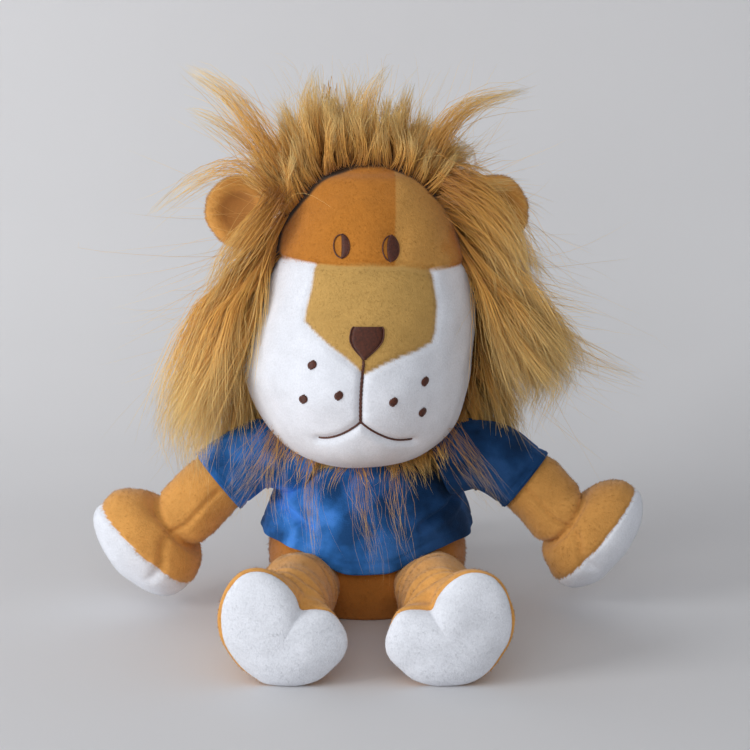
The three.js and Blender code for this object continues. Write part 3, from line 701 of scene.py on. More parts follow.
def face_point(x, z, rise):
    """Finds places of the front view on the face, lifted off it by a rise in mm, and the way out of it."""
    polar = HEAD.polar_at(z * MM)
    turn = -np.arccos(np.clip(x / (HEAD.radii(polar)[0] / MM), -1, 1))
    base, push = shape_head(polar, turn)
    up = HEAD.up(polar, turn, base)
    up = np.where((up[:, 1] > 0)[:, None], -up, up)
    return finish_head(base + up * ((push + rise) * MM)[:, None]), up


class LION_OT_head(bpy.types.Operator):
    """Makes the head's skin with its panels, seams, lobes and short pile"""
    bl_idname = "lion.head"
    bl_label = "Head"

    def execute(self, context):
        tints = colours()
        head, polar, turn = add_ball("head_skin", 256, 170)
        turn = turn - 0.45 * np.cos(turn)
        base, push = shape_head(polar, turn)
        set_places(head, base)
        out = normals(head)
        set_places(head, finish_head(base + out * (push * MM)[:, None]))
        x, y, z = base.T / MM
        front = y < 2
        inside = np.where(inside_outline(x, z, BRIDGE), 1, -1)
        cheek = smoothstep(brow_height(x) - z, -0.4, 0.4) * front
        bridge = smoothstep(inside * line_distance(x, z, BRIDGE), -0.5, 0.5)
        pale = smoothstep(x, BROW_SPLIT - 0.4, BROW_SPLIT + 0.4) * front
        pale *= 1 - smoothstep(x + 2 * lumps(base, 0.008, 9), 25, 31)
        hair = smoothstep(hair_edge(base) / MM, -0.5, 0.8)
        tint = mixed(mixed(tints.brow, tints.pale_brow, pale), mixed(tints.white, tints.sand, bridge), cheek)
        dress(head, mixed(tint, tints.hide, hair), "head", 0.95, "forehead_panel", "bridge_panel",
              "cheek_panel_left", "cheek_panel_right", "head_back_panel", "head_stuffing")

        face = (hair < 0.5) & front
        brow, muzzle = 1 - cheek, cheek * (1 - bridge)
        for name, where, count, finish, tint, slot, size, seed in (
                ("brow_pile", brow * (1 - pale), 9500, "brow", tints.brow, "orange_plush", 0.75, 20),
                ("pale_brow_pile", brow * pale, 5500, "pale brow", tints.pale_brow, "orange_plush", 0.75, 21),
                ("bridge_pile", cheek * bridge, 10000, "sand", tints.sand, "tan_plush", 0.75, 22),
                ("cheek_pile_left", muzzle * (x <= 0), 13500, "white", tints.white, "white_plush", 0.5, 23),
                ("cheek_pile_right", muzzle * (x > 0), 13500, "white", tints.white, "white_plush", 0.5, 24)):
            pile(name, head, face * where, count, finish, tint, "head", (0, -0.1, -0.55), fan=8,
                 size=size, splay=0.22, lean_by=2.2, seed=seed)
        return {"FINISHED"}


# Embroidery


# Each eye is an outlined oval, filled only on its right side: its middle, half sizes and the filling's start
EYES = {"left": (-10.1, 136, 2.7, 3.7, 0.0), "right": (6.9, 135.5, 2.9, 4.1, -0.45)}

# The nose is a shield: its top and depth in mm, and its half width at each share of the depth
NOSE_TOP, NOSE_DEPTH = 110, 10.5
NOSE_SHARES = (0, 0.08, 0.3, 0.45, 0.6, 0.75, 0.9, 1)
NOSE_HALVES = (5.0, 5.5, 5.7, 5.4, 4.5, 3.1, 1.4, 0.4)

WHISKER_DOTS = {"left": [(-16.8, 96.8), (-18.6, 85), (-7.3, 87.3)],
                "right": [(21.2, 90.7), (10.7, 85), (21, 79.9)]}
THREAD_STEPS, THREAD_SIDES = 9, 6


def outline(x, z):
    """Gives short stitches along a closed outline, each of which laps the next."""
    start = np.stack([x, z], 1)
    ahead = np.roll(start, -1, axis=0) - start
    return start - unit(ahead) * 0.2, start + ahead + unit(ahead) * 0.2


def rows(left, right, z, slant=0.0):
    """Gives one stitch at each height z, which rises from left to right by twice the slant."""
    return np.stack([left, z - slant], 1), np.stack([right, z + slant], 1)


def stitches(name, node, half, dome, *groups):
    """Sews one closed thread for each stitch, which arches from one edge of the shape to the other.

    Each group holds the stitches' starts and ends. half and dome give a thread's half width and how high
    it arches, in mm."""
    starts, ends = (np.vstack([group[k] for group in groups]) for k in (0, 1))
    count = len(starts)
    share = np.linspace(0, 1, THREAD_STEPS)
    line = starts[:, None] * (1 - share)[None, :, None] + ends[:, None] * share[None, :, None]
    rise = 0.05 + np.broadcast_to(dome, count)[:, None] * np.sin(math.pi * share) ** 0.5
    flat = line.reshape(-1, 2)
    points, up = face_point(flat[:, 0], flat[:, 1], rise.ravel())
    paths = points.reshape(count, THREAD_STEPS, 3)
    way = unit(np.gradient(paths, axis=1))
    side = unit(np.cross(way, up.reshape(paths.shape)))
    lift = np.cross(side, way)
    turns = np.linspace(0, 2 * math.pi, THREAD_SIDES, endpoint=False)
    rings = np.stack([paths + half * MM * (math.cos(t) * side + 0.8 * math.sin(t) * lift) for t in turns], 2)
    start = np.arange(count)[:, None] * THREAD_STEPS * THREAD_SIDES
    walls = []
    for low in range(0, (THREAD_STEPS - 1) * THREAD_SIDES, THREAD_SIDES):
        for k in range(THREAD_SIDES):
            following = (k + 1) % THREAD_SIDES
            walls.append(start + low + np.array([k, following, THREAD_SIDES + following, THREAD_SIDES + k]))
    around = np.arange(THREAD_SIDES)
    caps = [start + -around % THREAD_SIDES, start + (THREAD_STEPS - 1) * THREAD_SIDES + around]
    piece = mesh_piece(name, rings.reshape(-1, 3), [np.concatenate(walls), np.concatenate(caps)])
    piece.data.materials.append(thread_material())
    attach(piece, "head")
    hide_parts(node)


class LION_OT_embroidery(bpy.types.Operator):
    """Sews the eyes, nose, mouth and whisker dots in satin stitch"""
    bl_idname = "lion.embroidery"
    bl_label = "Embroidery"

    def execute(self, context):
        for name, (x, z, wide, tall, filled) in EYES.items():
            level = np.linspace(-1, 1, 24)
            width = wide * np.sqrt(1 - level ** 2 * 0.96)
            turn = np.linspace(0, 2 * math.pi, 28, endpoint=False)
            stitches(f"eye_thread_{name}", f"eye_{name}", 0.24,
                     np.repeat([0.5, 0.2], [len(level), len(turn)]),
                     rows(x + filled * width, x + width, z + tall * level, 0.2),
                     outline(x + wide * np.cos(turn), z + tall * np.sin(turn)))

        level = np.linspace(0, 1, 30)
        half = np.interp(level, NOSE_SHARES, NOSE_HALVES)
        z = NOSE_TOP - NOSE_DEPTH * level
        stitches("nose_thread", "nose", 0.24, np.repeat([0.7, 0.35], [len(half), 2 * len(half)]),
                 rows(-half, half, z),
                 outline(np.concatenate([half, -half[::-1]]), np.concatenate([z, z[::-1]])))

        z = np.linspace(99, 79, 15)
        stitches("philtrum_thread", "philtrum_line", 0.45, 0.25,
                 (np.stack([0 * z - 0.2, z], 1), np.stack([0 * z + 0.15, z - 2.0], 1)))
        line = np.array(mouth_line())
        ahead = unit(np.diff(line, axis=0))
        stitches("mouth_thread", "mouth_line", 0.38, 0.25, (line[:-1] - ahead * 0.3, line[:-1] + ahead * 1.5))

        level = np.linspace(-1, 1, 8)
        width = 1.35 * np.sqrt(1 - level ** 2 * 0.9)
        for name, dots in WHISKER_DOTS.items():
            for k, (x, z) in enumerate(dots):
                stitches(f"whisker_thread_{name}_{k + 1}", f"whisker_dot_{name}_{k + 1}", 0.26, 0.4,
                         rows(x - width, x + width, z + 1.3 * level, 0.2))
        return {"FINISHED"}


# Red, green and blue of the painted shade that darkens the hollow of an ear
EAR_HOLLOW_SHADE = (0.24, 0.07, 0.02)


class LION_OT_ears(bpy.types.Operator):
    """Makes the two cupped ears"""
    bl_idname = "lion.ears"
    bl_label = "Ears"

    def execute(self, context):
        tints = colours()
        for name, side in SIDES:
            ear, polar, turn = add_ball(f"ear_plush_{name}", 64, 48)
            ball = places(ear)
            x, y, z = ball.T
            radius = np.hypot(x, z)
            thick = 4.2 * np.sqrt(np.maximum(1 - radius ** 2, 0)) ** 0.6
            cup = 3.6 * np.exp(-(radius / 0.62) ** 4)
            depth = np.where(y < 0, -thick + cup, thick * 0.9)
            points = np.stack([side * 45 + 11.8 * x, -4 + depth, 143 + 12.6 * z], 1) * MM
            points += normals(ear) * (0.3 * MM * lumps(points, 0.009, 5))[:, None]
            set_places(ear, HEAD.clear(points, 0.2 * MM))
            inner = smoothstep(-y, 0.1, 0.4) * (1 - smoothstep(radius, 0.46, 0.68))
            # The hollow of each ear is darkened with painted shade, and no pile grows there
            dress(ear, mixed(tints.orange, EAR_HOLLOW_SHADE, inner * 0.5), f"ear_{name}", 0.6,
                  f"ear_{name}_front", f"ear_{name}_back")
            pile(f"ear_pile_{name}", ear, inner < 0.5, 5000, "orange", tints.orange, f"ear_{name}",
                 (0.5 * side, 0, 0.2), seed=31)
        return {"FINISHED"}


# Mane


# How the mane falls round the face: place in degrees from the top of the head (left is negative), first and
# last heading in the front view (0 up, 90 right), length in mm, and how far the last heading strays
MANE_FALL = np.array((
    (-180, -176, -180, 6, 8), (-167, -152, -168, 9, 10), (-150, -150, -168, 15, 10),
    (-138, -150, -170, 26, 10), (-125, -152, -170, 42, 9), (-111, -150, -172, 54, 8),
    (-100, -146, -170, 60, 8), (-85, -140, -168, 66, 8), (-65, -136, -164, 78, 7),
    (-52, -144, -164, 80, 8), (-41.5, -150, -168, 66, 9), (-41, -36, -30, 22, 20),
    (-30, -26, -12, 22, 16), (-15, -10, -3, 22, 16), (0, 0, -2, 21, 16), (15, 4, 4, 17, 16),
    (24, 18, 40, 15, 18), (31, 44, 92, 20, 16), (36, 84, 128, 32, 14), (40, 116, 146, 48, 12),
    (48, 132, 150, 64, 12), (56, 134, 148, 68, 12), (70, 136, 142, 60, 13), (85, 140, 148, 54, 13),
    (100, 144, 162, 48, 12), (111, 148, 166, 44, 10), (125, 150, 166, 38, 10), (138, 150, 166, 24, 10),
    (150, 150, 168, 14, 10), (180, 176, 180, 6, 8)))

# How far the mane's sides reach in the front view: height, then the reach to the left and right, in mm
MANE_SIDES = np.array(((40, 58, 50), (48, 66, 55), (56, 72, 57), (66, 77, 58), (76, 76, 64), (84, 72, 73),
                       (96, 66.5, 74), (106, 62.5, 69), (117, 59, 63), (127, 56, 58), (140, 54, 55),
                       (200, 60, 60)))

# How far the hair behind the head reaches to either side in the front view: height and reach, in mm
BACK_HEIGHTS = (50, 70, 95, 112, 126, 132, 152, 172, 195)
BACK_REACH = (60, 68, 62, 56, 48, 43, 42, 36, 22)

# Locks of fewer strands than this are thin: of finer hair, and darker in tone as painted shade, for the shade
# under the head where they lie
THIN_LOCK = 50

# Single locks that stand out from the mane: strands, spread at the root and tip, and points of the way, in mm
SINGLE_LOCKS = (
    (150, 3.6, 2.2, (-28, -14, 158), (-38, -10, 172), (-49, -8, 185), (-63, -6, 194)),
    (70, 2.6, 2.6, (-30, -12, 155), (-41, -8, 166), (-52, -6, 174), (-63, -4, 179)),
    (60, 2.0, 1.6, (-31, -18, 150), (-42, -16, 160), (-56, -14, 157), (-76, -12, 142)),
    (150, 3.4, 2.6, (-31, -20, 150), (-39, -24, 140), (-49, -22, 126), (-56, -20, 108)),
    (330, 4.6, 3.2, (29, -17, 155), (41, -21, 149), (51, -21, 136), (58, -20, 116)),
    (110, 3.2, 1.2, (-18, -10, 163), (-20, -9, 177), (-19, -8, 187), (-17, -8, 195)),
    (90, 3.0, 1.6, (-2, -10, 163), (-1, -9, 178), (3, -8, 188), (8, -8, 195)),
    (130, 2.8, 1.3, (21, -12, 158), (27, -10, 172), (37, -8, 181), (57, -6, 186)),
    (80, 3.2, 4.5, (35, -12, 118), (54, -15, 104), (74, -14, 92), (97, -12, 83)),
    (50, 3.0, 4.0, (36, -10, 124), (52, -12, 116), (68, -12, 111), (84, -12, 107)),
    (90, 3.2, 3.0, (36, -16, 126), (49, -20, 106), (62, -20, 92), (76, -18, 80)),
    (90, 3.2, 2.4, (-32, -16, 130), (-54, -18, 108), (-68, -18, 84), (-76, -17, 62)),
    (60, 3.0, 2.4, (-36, -16, 104), (-52, -20, 84), (-62, -20, 66), (-68, -20, 50)),
    (30, 2.6, 2.2, (-18, -30, 62), (-20, -39, 48), (-18.5, -42, 34), (-17, -43, 23)),
    (32, 3.0, 2.2, (-3, -34, 58), (-2, -42, 46), (1, -44, 32), (4, -44, 17)),
    (28, 2.6, 2.0, (9, -33, 58), (10, -41, 46), (12, -43, 34), (15, -43, 24)),
    (49, 4.5, 5.0, (-30, -22, 72), (-38, -25, 58), (-45, -26, 48), (-52, -26, 37)),
    (44, 3.6, 4.0, (-30, -26, 70), (-33, -34, 56), (-33, -37, 46), (-31, -39, 36)),
    (49, 4.5, 5.0, (28, -22, 68), (36, -24, 56), (43, -24, 46), (49, -24, 37)),
)


def lean(headings):
    """Turns headings in the front view, in degrees from straight up, into directions."""
    turn = np.radians(headings)
    return np.stack([np.sin(turn), np.zeros(len(turn)), np.cos(turn)], axis=1)


def around(points):
    """The front view's angle round the head's middle: 0 at the top, with left negative, in degrees."""
    return np.degrees(np.arctan2(points[:, 0], points[:, 2] - 112 * MM))


def jitter(rng, *shape):
    """Random offsets along x, y and z, spread evenly about nought."""
    return rng.normal(size=(*shape, 3))


def keep_in(path, high=195.5):
    """Holds strands off the head, the shirt and the floor, and inside the mane's outer reach."""
    path[..., 0] = np.clip(path[..., 0], -104 * MM, 106 * MM)
    path[..., 1] = np.minimum(path[..., 1], 90 * MM)
    path[..., 2] = np.clip(path[..., 2], 1 * MM, high * MM)
    path[:, 1:] = HEAD.clear(path[:, 1:], 0.6 * MM)
    path[:, 1:] = TORSO.clear(path[:, 1:], SHIRT_GAP + SHIRT_THICKNESS + 0.6 * MM)
    return path


def hair_patch(name, where, count, flow, seed, steps=6, clump=52, gather=0.6, uneven=(0.78, 1.1), tries=60,
               hold=None, lighter=0):
    """Grows one patch of the mane in locks.

    where(points) picks the roots on the head. flow(points, up, rng) gives each lock's first and last
    direction and its length. Strands draw in towards the middle of their lock, and a few stray.
    hold(path) may draw them back, and lighter lifts their tone by a number of steps."""
    rng = np.random.default_rng(seed)
    locks = max(count // clump, 1)

    def scatter(number):
        polar = np.arccos(rng.uniform(-1, 1, number * tries))
        turn = rng.uniform(-math.pi, math.pi, number * tries)
        points = HEAD.points(polar, turn)
        keep = np.flatnonzero(where(points))
        if len(keep) < number:
            raise RuntimeError(f"{name}: too few roots fall in the patch")
        keep = keep[:number]
        return polar[keep], turn[keep], points[keep]

    polar, turn, lock_roots = scatter(locks)
    _, _, roots = scatter(count)
    nearest = np.empty(count, int)
    for low in range(0, count, 2000):
        gap = np.linalg.norm(roots[low:low + 2000, None] - lock_roots[None], axis=2)
        nearest[low:low + 2000] = gap.argmin(1)

    up = HEAD.up(polar, turn, lock_roots)
    outward = lock_roots - np.array([0, HEAD.setback(math.pi / 2), HEAD.middle])
    up = np.where(((up * outward).sum(1) < 0)[:, None], -up, up)

    first, last, reach = flow(lock_roots, up, rng)
    far = reach * rng.uniform(*uneven, locks)
    first = unit(first + 0.12 * jitter(rng, locks))
    last = unit(last + 0.10 * jitter(rng, locks))
    sway = jitter(rng, locks)
    phase = rng.uniform(0, 2 * math.pi, locks)
    share = np.linspace(0, 1, steps)
    guide = np.zeros((locks, steps, 3))
    for k in range(1, steps):
        bend = (k / (steps - 1)) ** 0.8
        wave = 0.16 * np.sin(phase + 5.0 * share[k])[:, None] * sway
        heading = unit(first * (1 - bend) + last * bend + wave)
        guide[:, k] = guide[:, k - 1] + heading * (far / (steps - 1))[:, None]

    offset = roots - lock_roots[nearest]
    stretch = rng.uniform(0.66, 1.1, count)
    path = guide[nearest] * stretch[:, None, None]
    path = path + roots[:, None] - offset[:, None] * (gather * share ** 0.7)[None, :, None]
    loose = rng.random(count) < 0.12
    fan = np.where(loose, 0.11, 0.04)
    path += (jitter(rng, count, 1) * fan[:, None, None] * (share ** 1.4)[None, :, None]
             * far[nearest][:, None, None])
    path += jitter(rng, count, steps) * 0.25 * MM * share[None, :, None]
    if hold:
        path = hold(path)
    path = keep_in(path)
    half = sizes().hair_width / 2 * rng.uniform(0.6, 1.15, count)
    tone = rng.integers(0, TONES, locks)[nearest]
    tone = np.where(rng.random(count) < 0.55, tone, rng.integers(0, TONES, count))
    return strands(name, path, half, np.minimum(tone + lighter, TONES - 1))


def single_locks(name, locks, seed):
    """Grows the locks that stand out, each along its own line of points."""
    rng = np.random.default_rng(seed)
    steps = 8
    share = np.linspace(0, 1, steps)
    paths, tones = [], []
    for count, at_root, at_tip, *points in locks:
        line = Spine(points)
        stretch = rng.uniform(0.6, 1.05, count)
        at = np.stack([line.at(np.clip(share * s, 0, 1)) for s in stretch])
        spread = at_root * (1 - share) + at_tip * share
        drift = jitter(rng, count, 1) * spread[None, :, None] * MM * 0.6
        curl = jitter(rng, count, 1) * (2.0 * MM * np.sin(math.pi * share))[None, :, None]
        curl += jitter(rng, count, 1) * (0.9 * MM * np.sin(2 * math.pi * share))[None, :, None]
        stray = (jitter(rng, count, 1) * (rng.random((count, 1, 1)) < 0.2)
                 * (0.09 * line.length * share ** 1.5)[None, :, None])
        paths.append(at + drift + curl + stray)
        tone = np.where(rng.random(count) < 0.5, rng.integers(8, TONES), rng.integers(0, TONES, count))
        # Thin locks are given darker tones: painted shade under the head
        tones.append(tone // 3 if count < THIN_LOCK else tone)
    path = keep_in(np.concatenate(paths), 196.0)
    fine = np.concatenate([np.full(lock[0], 0.45 if lock[0] < THIN_LOCK else 1.0) for lock in locks])
    half = sizes().hair_width / 2 * rng.uniform(0.5, 1.0, len(path)) * fine
    strands(name, path, half, np.concatenate(tones))


def stray_hairs(name, count, seed):
    """Grows long fine single hairs that curl out of the crown and the sides."""
    rng = np.random.default_rng(seed)
    steps = 10
    share = np.linspace(0, 1, steps)[None, :, None]
    place = rng.uniform(-1, 1, count)
    beyond = np.sign(place) * (42 + (np.abs(place) - 0.5) * 150)
    place = np.radians(np.where(np.abs(place) < 0.5, place * 84, beyond))
    out = np.stack([np.sin(place), np.zeros(count), np.cos(place)], axis=1)
    falls = smoothstep(np.degrees(np.abs(place)), 36, 60)[:, None]
    root = out * np.array([38, 0, 46]) * MM + np.array([0, 0, 112]) * MM
    root[:, 1] = rng.uniform(-16, 14, count) * MM
    reach = rng.uniform(18, 40, count)[:, None, None] * MM * (1 + 0.6 * falls[:, None])
    way = unit(out + 0.3 * jitter(rng, count) + falls * np.array([0, -0.1, -1.1]))
    turn = 0.8 * jitter(rng, count)
    path = root[:, None] + reach * (way[:, None] * share + turn[:, None] * share ** 2 * 0.35)
    first = unit(np.cross(way, jitter(rng, count)))
    phase = rng.uniform(0, 2 * math.pi, (count, 1, 1))
    path += first[:, None] * (1.6 * MM * share * np.sin(phase + rng.uniform(3, 8, (count, 1, 1)) * share))
    path = keep_in(path, 196.0)
    half = sizes().hair_width / 2 * rng.uniform(0.35, 0.6, count)
    strands(name, path, half, rng.integers(0, TONES, count))


class LION_OT_mane(bpy.types.Operator):
    """Grows the mane in locks: over the brow, down both sides, behind, and under the chin"""
    bl_idname = "lion.mane"
    bl_label = "Mane"

    def execute(self, context):
        size = sizes()

        def is_hair(p):
            x, y, z = p.T / MM
            near_ear = (np.abs(z - 143) < 12) & (np.abs(y + 3) < 7) & (np.abs(p[:, 0]) > 20 * MM)
            return (hair_edge(p) > 0) & ~near_ear

        def face_flow(p, up, rng):
            place = around(p)
            first, last, reach, stray = (np.interp(place, MANE_FALL[:, 0], column)
                                         for column in MANE_FALL[:, 1:].T)
            last = last + stray * rng.normal(size=len(p))
            front = smoothstep(-p[:, 1] / MM, -6, 10)
            crown = np.abs(place) < 40
            swell = rng.uniform(0.05, 1, len(p)) * np.where(crown, 0.42, 0.22)
            start = lean(first + np.where(crown, 12, 6) * rng.normal(size=len(p))) + up * swell[:, None]
            end = lean(last)
            start[:, 1] += np.where(crown, 0.0, -0.25 * front)
            end[:, 1] += np.where(crown, rng.uniform(-0.1, 0.4, len(p)), -0.14 * front)
            # The table's lengths are those of a crown 25 mm and sides 70 mm long
            scale = np.where(crown, size.crown_length / 25, size.side_length / 70)
            return start, end, reach * scale

        def hold_sides(path):
            """Draws hair that strays too far back towards the mane's sides, each strand by its own amount"""
            rng = np.random.default_rng(len(path))
            x, z = path[..., 0], path[..., 2] / MM
            reach = np.where(x < 0, np.interp(z, MANE_SIDES[:, 0], MANE_SIDES[:, 1]),
                             np.interp(z, MANE_SIDES[:, 0], MANE_SIDES[:, 2])) * MM
            reach = reach * np.minimum(rng.normal(0.94, 0.07, (len(path), 1)), 1.12)
            over = np.abs(x) - reach
            path[..., 0] = np.where(over > 0, np.sign(x) * (reach + over * 0.18), x)
            return path

        def hold_narrow(path):
            """Keeps the hair behind the head inside the mane's sides"""
            x, z = path[..., 0], path[..., 2] / MM
            limit = np.interp(z, BACK_HEIGHTS, BACK_REACH) * MM
            limit = limit * np.random.default_rng(4).uniform(0.5, 1.0, (len(path), 1))
            over = np.abs(x) > limit
            path[..., 0] = np.where(over, np.sign(x) * (limit + (np.abs(x) - limit) * 0.25), x)
            return path

        def back_flow(p, up, rng):
            high = smoothstep(p[:, 2] / MM, 140, 162)
            start = up * rng.uniform(0.35, 0.9, len(p))[:, None]
            start = start + np.stack([0 * high, 0.1 + 0 * high, high - 0.3], 1)
            end = up * 0.1 + np.array([0, 0.1, -0.95])
            return start, end, size.back_length * np.clip((p[:, 2] / MM - 40) / 60, 0.35, 1)

        def chin_flow(p, up, rng):
            return (headed(p, 0, -0.25, -0.5, 14), headed(p, 0, -0.3, -1.0, 10),
                    size.beard_length * rng.uniform(0.12, 0.4, len(p)))

        crown = hair_patch("mane_crown",
                           lambda p: is_hair(p) & (np.abs(around(p)) < 41) & (p[:, 1] < 22 * MM),
                           size.hair_count, face_flow, 41, clump=30, gather=0.38, uneven=(0.6, 1.25))
        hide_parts("mane")

        for name, side in SIDES:
            def side_where(p):
                place = side * around(p)
                behind_ear = (p[:, 2] > 128 * MM) & (p[:, 1] > -9 * MM)
                return is_hair(p) & (place > 36) & (place < 176) & (p[:, 1] < 14 * MM) & ~behind_ear

            def temple_where(p):
                place = side * around(p)
                return (hair_edge(p) > 0) & (place > 33) & (place < 84) & (p[:, 1] < -9 * MM)

            # Painted light: the left side's hairs are given lighter tones, for the window lamp that it faces
            lighter = 8 if side < 0 else 0
            hair_patch(f"mane_side_{name}", side_where, size.hair_count, face_flow, 50 + side,
                       hold=hold_sides, lighter=lighter)
            hair_patch(f"mane_temple_{name}", temple_where, 2600, face_flow, 54 + side, tries=220,
                       hold=hold_sides, lighter=lighter)

        hair_patch("mane_back", lambda p: is_hair(p) & (p[:, 1] > 4 * MM), size.hair_count * 2 // 3,
                   back_flow, 60, steps=5, hold=hold_narrow)
        hair_patch("mane_ruff", lambda p: ((p[:, 2] < 66 * MM) & (p[:, 1] > -34 * MM) & (p[:, 1] < 2 * MM)
                                           & (np.abs(p[:, 0]) < 28 * MM)),
                   220, chin_flow, 71, clump=6, gather=0.3)
        single_locks("mane_locks", SINGLE_LOCKS, 73)
        stray_hairs("mane_wisps", 620, 75)
        return {"FINISHED"}


# Torso and T-shirt


class LION_OT_torso(bpy.types.Operator):
    """Makes the stuffed torso with its flat seat, and the neck"""
    bl_idname = "lion.torso"
    bl_label = "Torso"

    def execute(self, context):
        tints = colours()
        torso, polar, turn = add_ball("torso_skin", 128, 96)
        base = TORSO.points(polar, turn)
        set_places(torso, base)
        base = base + normals(torso) * ((0.35 * lumps(base, 0.014, 8) - 0.1) * MM)[:, None]
        base[:, 2] = np.maximum(base[:, 2], 0)
        set_places(torso, base)
        # The torso and its pile take the darker body colour, which is painted shade
        dress(torso, tints.body, "torso", 0.9, "torso_front_panel", "torso_back_panel", "seat_panel",
              "torso_stuffing", "pellet_pouch")
        low = (base[:, 2] < 36 * MM) & (base[:, 2] > 0.5 * MM)
        pile("torso_pile", torso, low, 7000, "body", tints.body, "torso", (0, 0, -0.5), seed=33)

        neck, polar, turn = add_ball("neck_plush", 48, 32)
        set_places(neck, NECK + places(neck) * 11 * MM)
        dress(neck, tints.orange, "neck", 1.0, "neck_stuffing", slot="polyester_fibre")
        return {"FINISHED"}


def cloth_tube(name, across, down, place, thickness, *nodes, body=None):
    """Sews a tube of jersey. place(u, v) gives its points, with u round it and v along it.

    Gives the piece with the area of its outer face."""
    bpy.ops.object.select_all(action="DESELECT")
    bpy.ops.mesh.primitive_grid_add(x_subdivisions=across, y_subdivisions=down, size=2)
    piece = bpy.context.object
    piece.name = piece.data.name = name
    flat = (places(piece) + 1) / 2
    set_places(piece, place(flat[:, 0], flat[:, 1]))
    # The two long edges join, and every face looks outwards
    bpy.ops.object.mode_set(mode="EDIT")
    bpy.ops.mesh.select_all(action="SELECT")
    bpy.ops.mesh.remove_doubles(threshold=1e-6)
    bpy.ops.mesh.normals_make_consistent(inside=False)
    bpy.ops.object.mode_set(mode="OBJECT")
    area = sum(face.area for face in piece.data.polygons)
    # The cloth's thickness lies inwards of that face
    shell = piece.modifiers.new("Cloth thickness", "SOLIDIFY")
    shell.thickness, shell.offset = thickness, -1.0
    bpy.ops.object.modifier_apply(modifier=shell.name)
    smooth(piece)
    piece.data.materials.append(jersey_material())
    if body:
        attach(piece, body)
    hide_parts(*nodes)
    return piece, area


class LION_OT_shirt(bpy.types.Operator):
    """Sews the T-shirt's body and its collar"""
    bl_idname = "lion.shirt"
    bl_label = "T-shirt"

    def execute(self, context):
        neckline = TORSO.polar_at(51.2 * MM)

        def body_points(u, v):
            share = 1 - v
            turn = -math.pi / 2 + u * 2 * math.pi
            # The hem dips between the legs and lies over the thighs, and is level behind
            front_hem, back_hem = 18.3 + 6.6 * smoothstep(np.abs(38 * np.cos(turn)), 6, 24), 25.0
            hem = np.where(np.sin(turn) < 0, front_hem,
                           back_hem + (front_hem - back_hem) * (1 - np.abs(np.sin(turn))) ** 2)
            polar = neckline + (TORSO.polar_at(hem * MM) - neckline) * share
            base = TORSO.points(polar, turn, SHIRT_GAP + SHIRT_THICKNESS)
            x, z = base[:, 0] / MM, base[:, 2] / MM
            folds = (0.5 * np.sin(turn * 9 + 3 * np.sin(turn * 2)) * share ** 2
                     + 0.6 * lumps(base * np.array([1, 1, 0.5]), 0.014, 12))
            # A crease runs in from each armpit
            front = smoothstep(-np.sin(turn), 0, 0.3)
            for side in (-1, 1):
                away = line_distance(x, z, [(side * 37, 43), (side * 30, 37), (side * 19, 33)])
                folds += front * (0.9 * bell((away - 2.6) / 1.5) - 1.2 * bell(away / 1.3))
            # The cloth flares over each thigh, and the hem's seam draws it in
            flare = 1.0 * share ** 3 + 1.5 * front * bell((np.abs(x) - 21) / 9) * smoothstep(share, 0.6, 1)
            flare -= 0.4 * bell((share - 0.92) / 0.012)
            out = unit(base - np.array([0, 4 * MM, 26 * MM]))
            out[:, 2] *= 0.3
            return base + out * ((folds + flare) * MM)[:, None]

        def collar_points(u, v):
            turn = u * 2 * math.pi
            radius = 16.7 - 3.2 * v
            x, y = radius * np.cos(turn), 8 + radius * np.sin(turn)
            # The ring lies on the shirt's shoulders, whose half width and depth at the top are 38.3 and 35 mm
            polar = np.arcsin(np.clip(np.hypot(x / 38.3, (y - 7) / 35) ** (1 / TORSO.fullness), 0, 1))
            z = TORSO.middle + (TORSO.half + SHIRT_GAP + SHIRT_THICKNESS) * np.cos(polar)
            return np.stack([x * MM, y * MM, z + 0.5 * MM * np.sin(math.pi * v)], 1)

        body, area = cloth_tube("shirt_body", 220, 72, body_points, 1.0 * MM, "shirt_front", "shirt_back",
                                body="torso")
        collar, _ = cloth_tube("collar_rib", 128, 8, collar_points, 1.0 * MM, "shirt_collar", body="torso")
        return {"FINISHED"}


# Arms


# Middle line of each arm in mm, from inside the shoulder to the palm. The right arm is held out a little more
ARM_LINES = {"left": ((-19, -2, 48.5), (-37.5, -4.5, 54.5), (-54, -7, 44.7), (-68.8, -11.5, 29.8),
                      (-86.5, -17.5, 11.2)),
             "right": ((25, -3, 50), (41, -5, 54.5), (59, -7, 44), (70.5, -11.5, 32.5), (89.5, -17.5, 16.5))}

# Shares along the arm of the sleeve's cuff, the wrist, the paw at its full width and the palm's seam
CUFF, WRIST, PAW_FULL, PALM_START = 0.45, 0.668, 0.795, 0.836

# The right arm lies in the head's shadow, so its plush is coloured this much of the left one's
RIGHT_ARM_SHADE = 0.84


def paw_share(share, turn, side):
    """The share along the arm with the paw tilted, so that its front and lower edges lie further along."""
    tilt = 0.045 * np.sin(turn) - 0.017 * (1 + side * np.cos(turn))
    return share + tilt * smoothstep(share, 0.42, 0.62) * (1 - smoothstep(share, 0.8, 0.97))


def arm_section(share, turn, side):
    """Half sizes of the arm: a slim tube under the sleeve, then the wrist and the wide flat paw."""
    share = paw_share(share, turn, side)
    bare = smoothstep(share, CUFF - 0.03, CUFF + 0.05)
    paw = (1 - (1 - np.clip((share - WRIST) / (PAW_FULL - WRIST), 0, 1)) ** 2) ** 0.7
    pinch = bell((share - WRIST + 0.004) / 0.022)
    across = 11.0 + 0.8 * bare + 9.7 * paw - 0.8 * pinch
    along = 10.6 + 0.7 * bare + 3.4 * paw - 0.7 * pinch
    return across * MM, along * MM


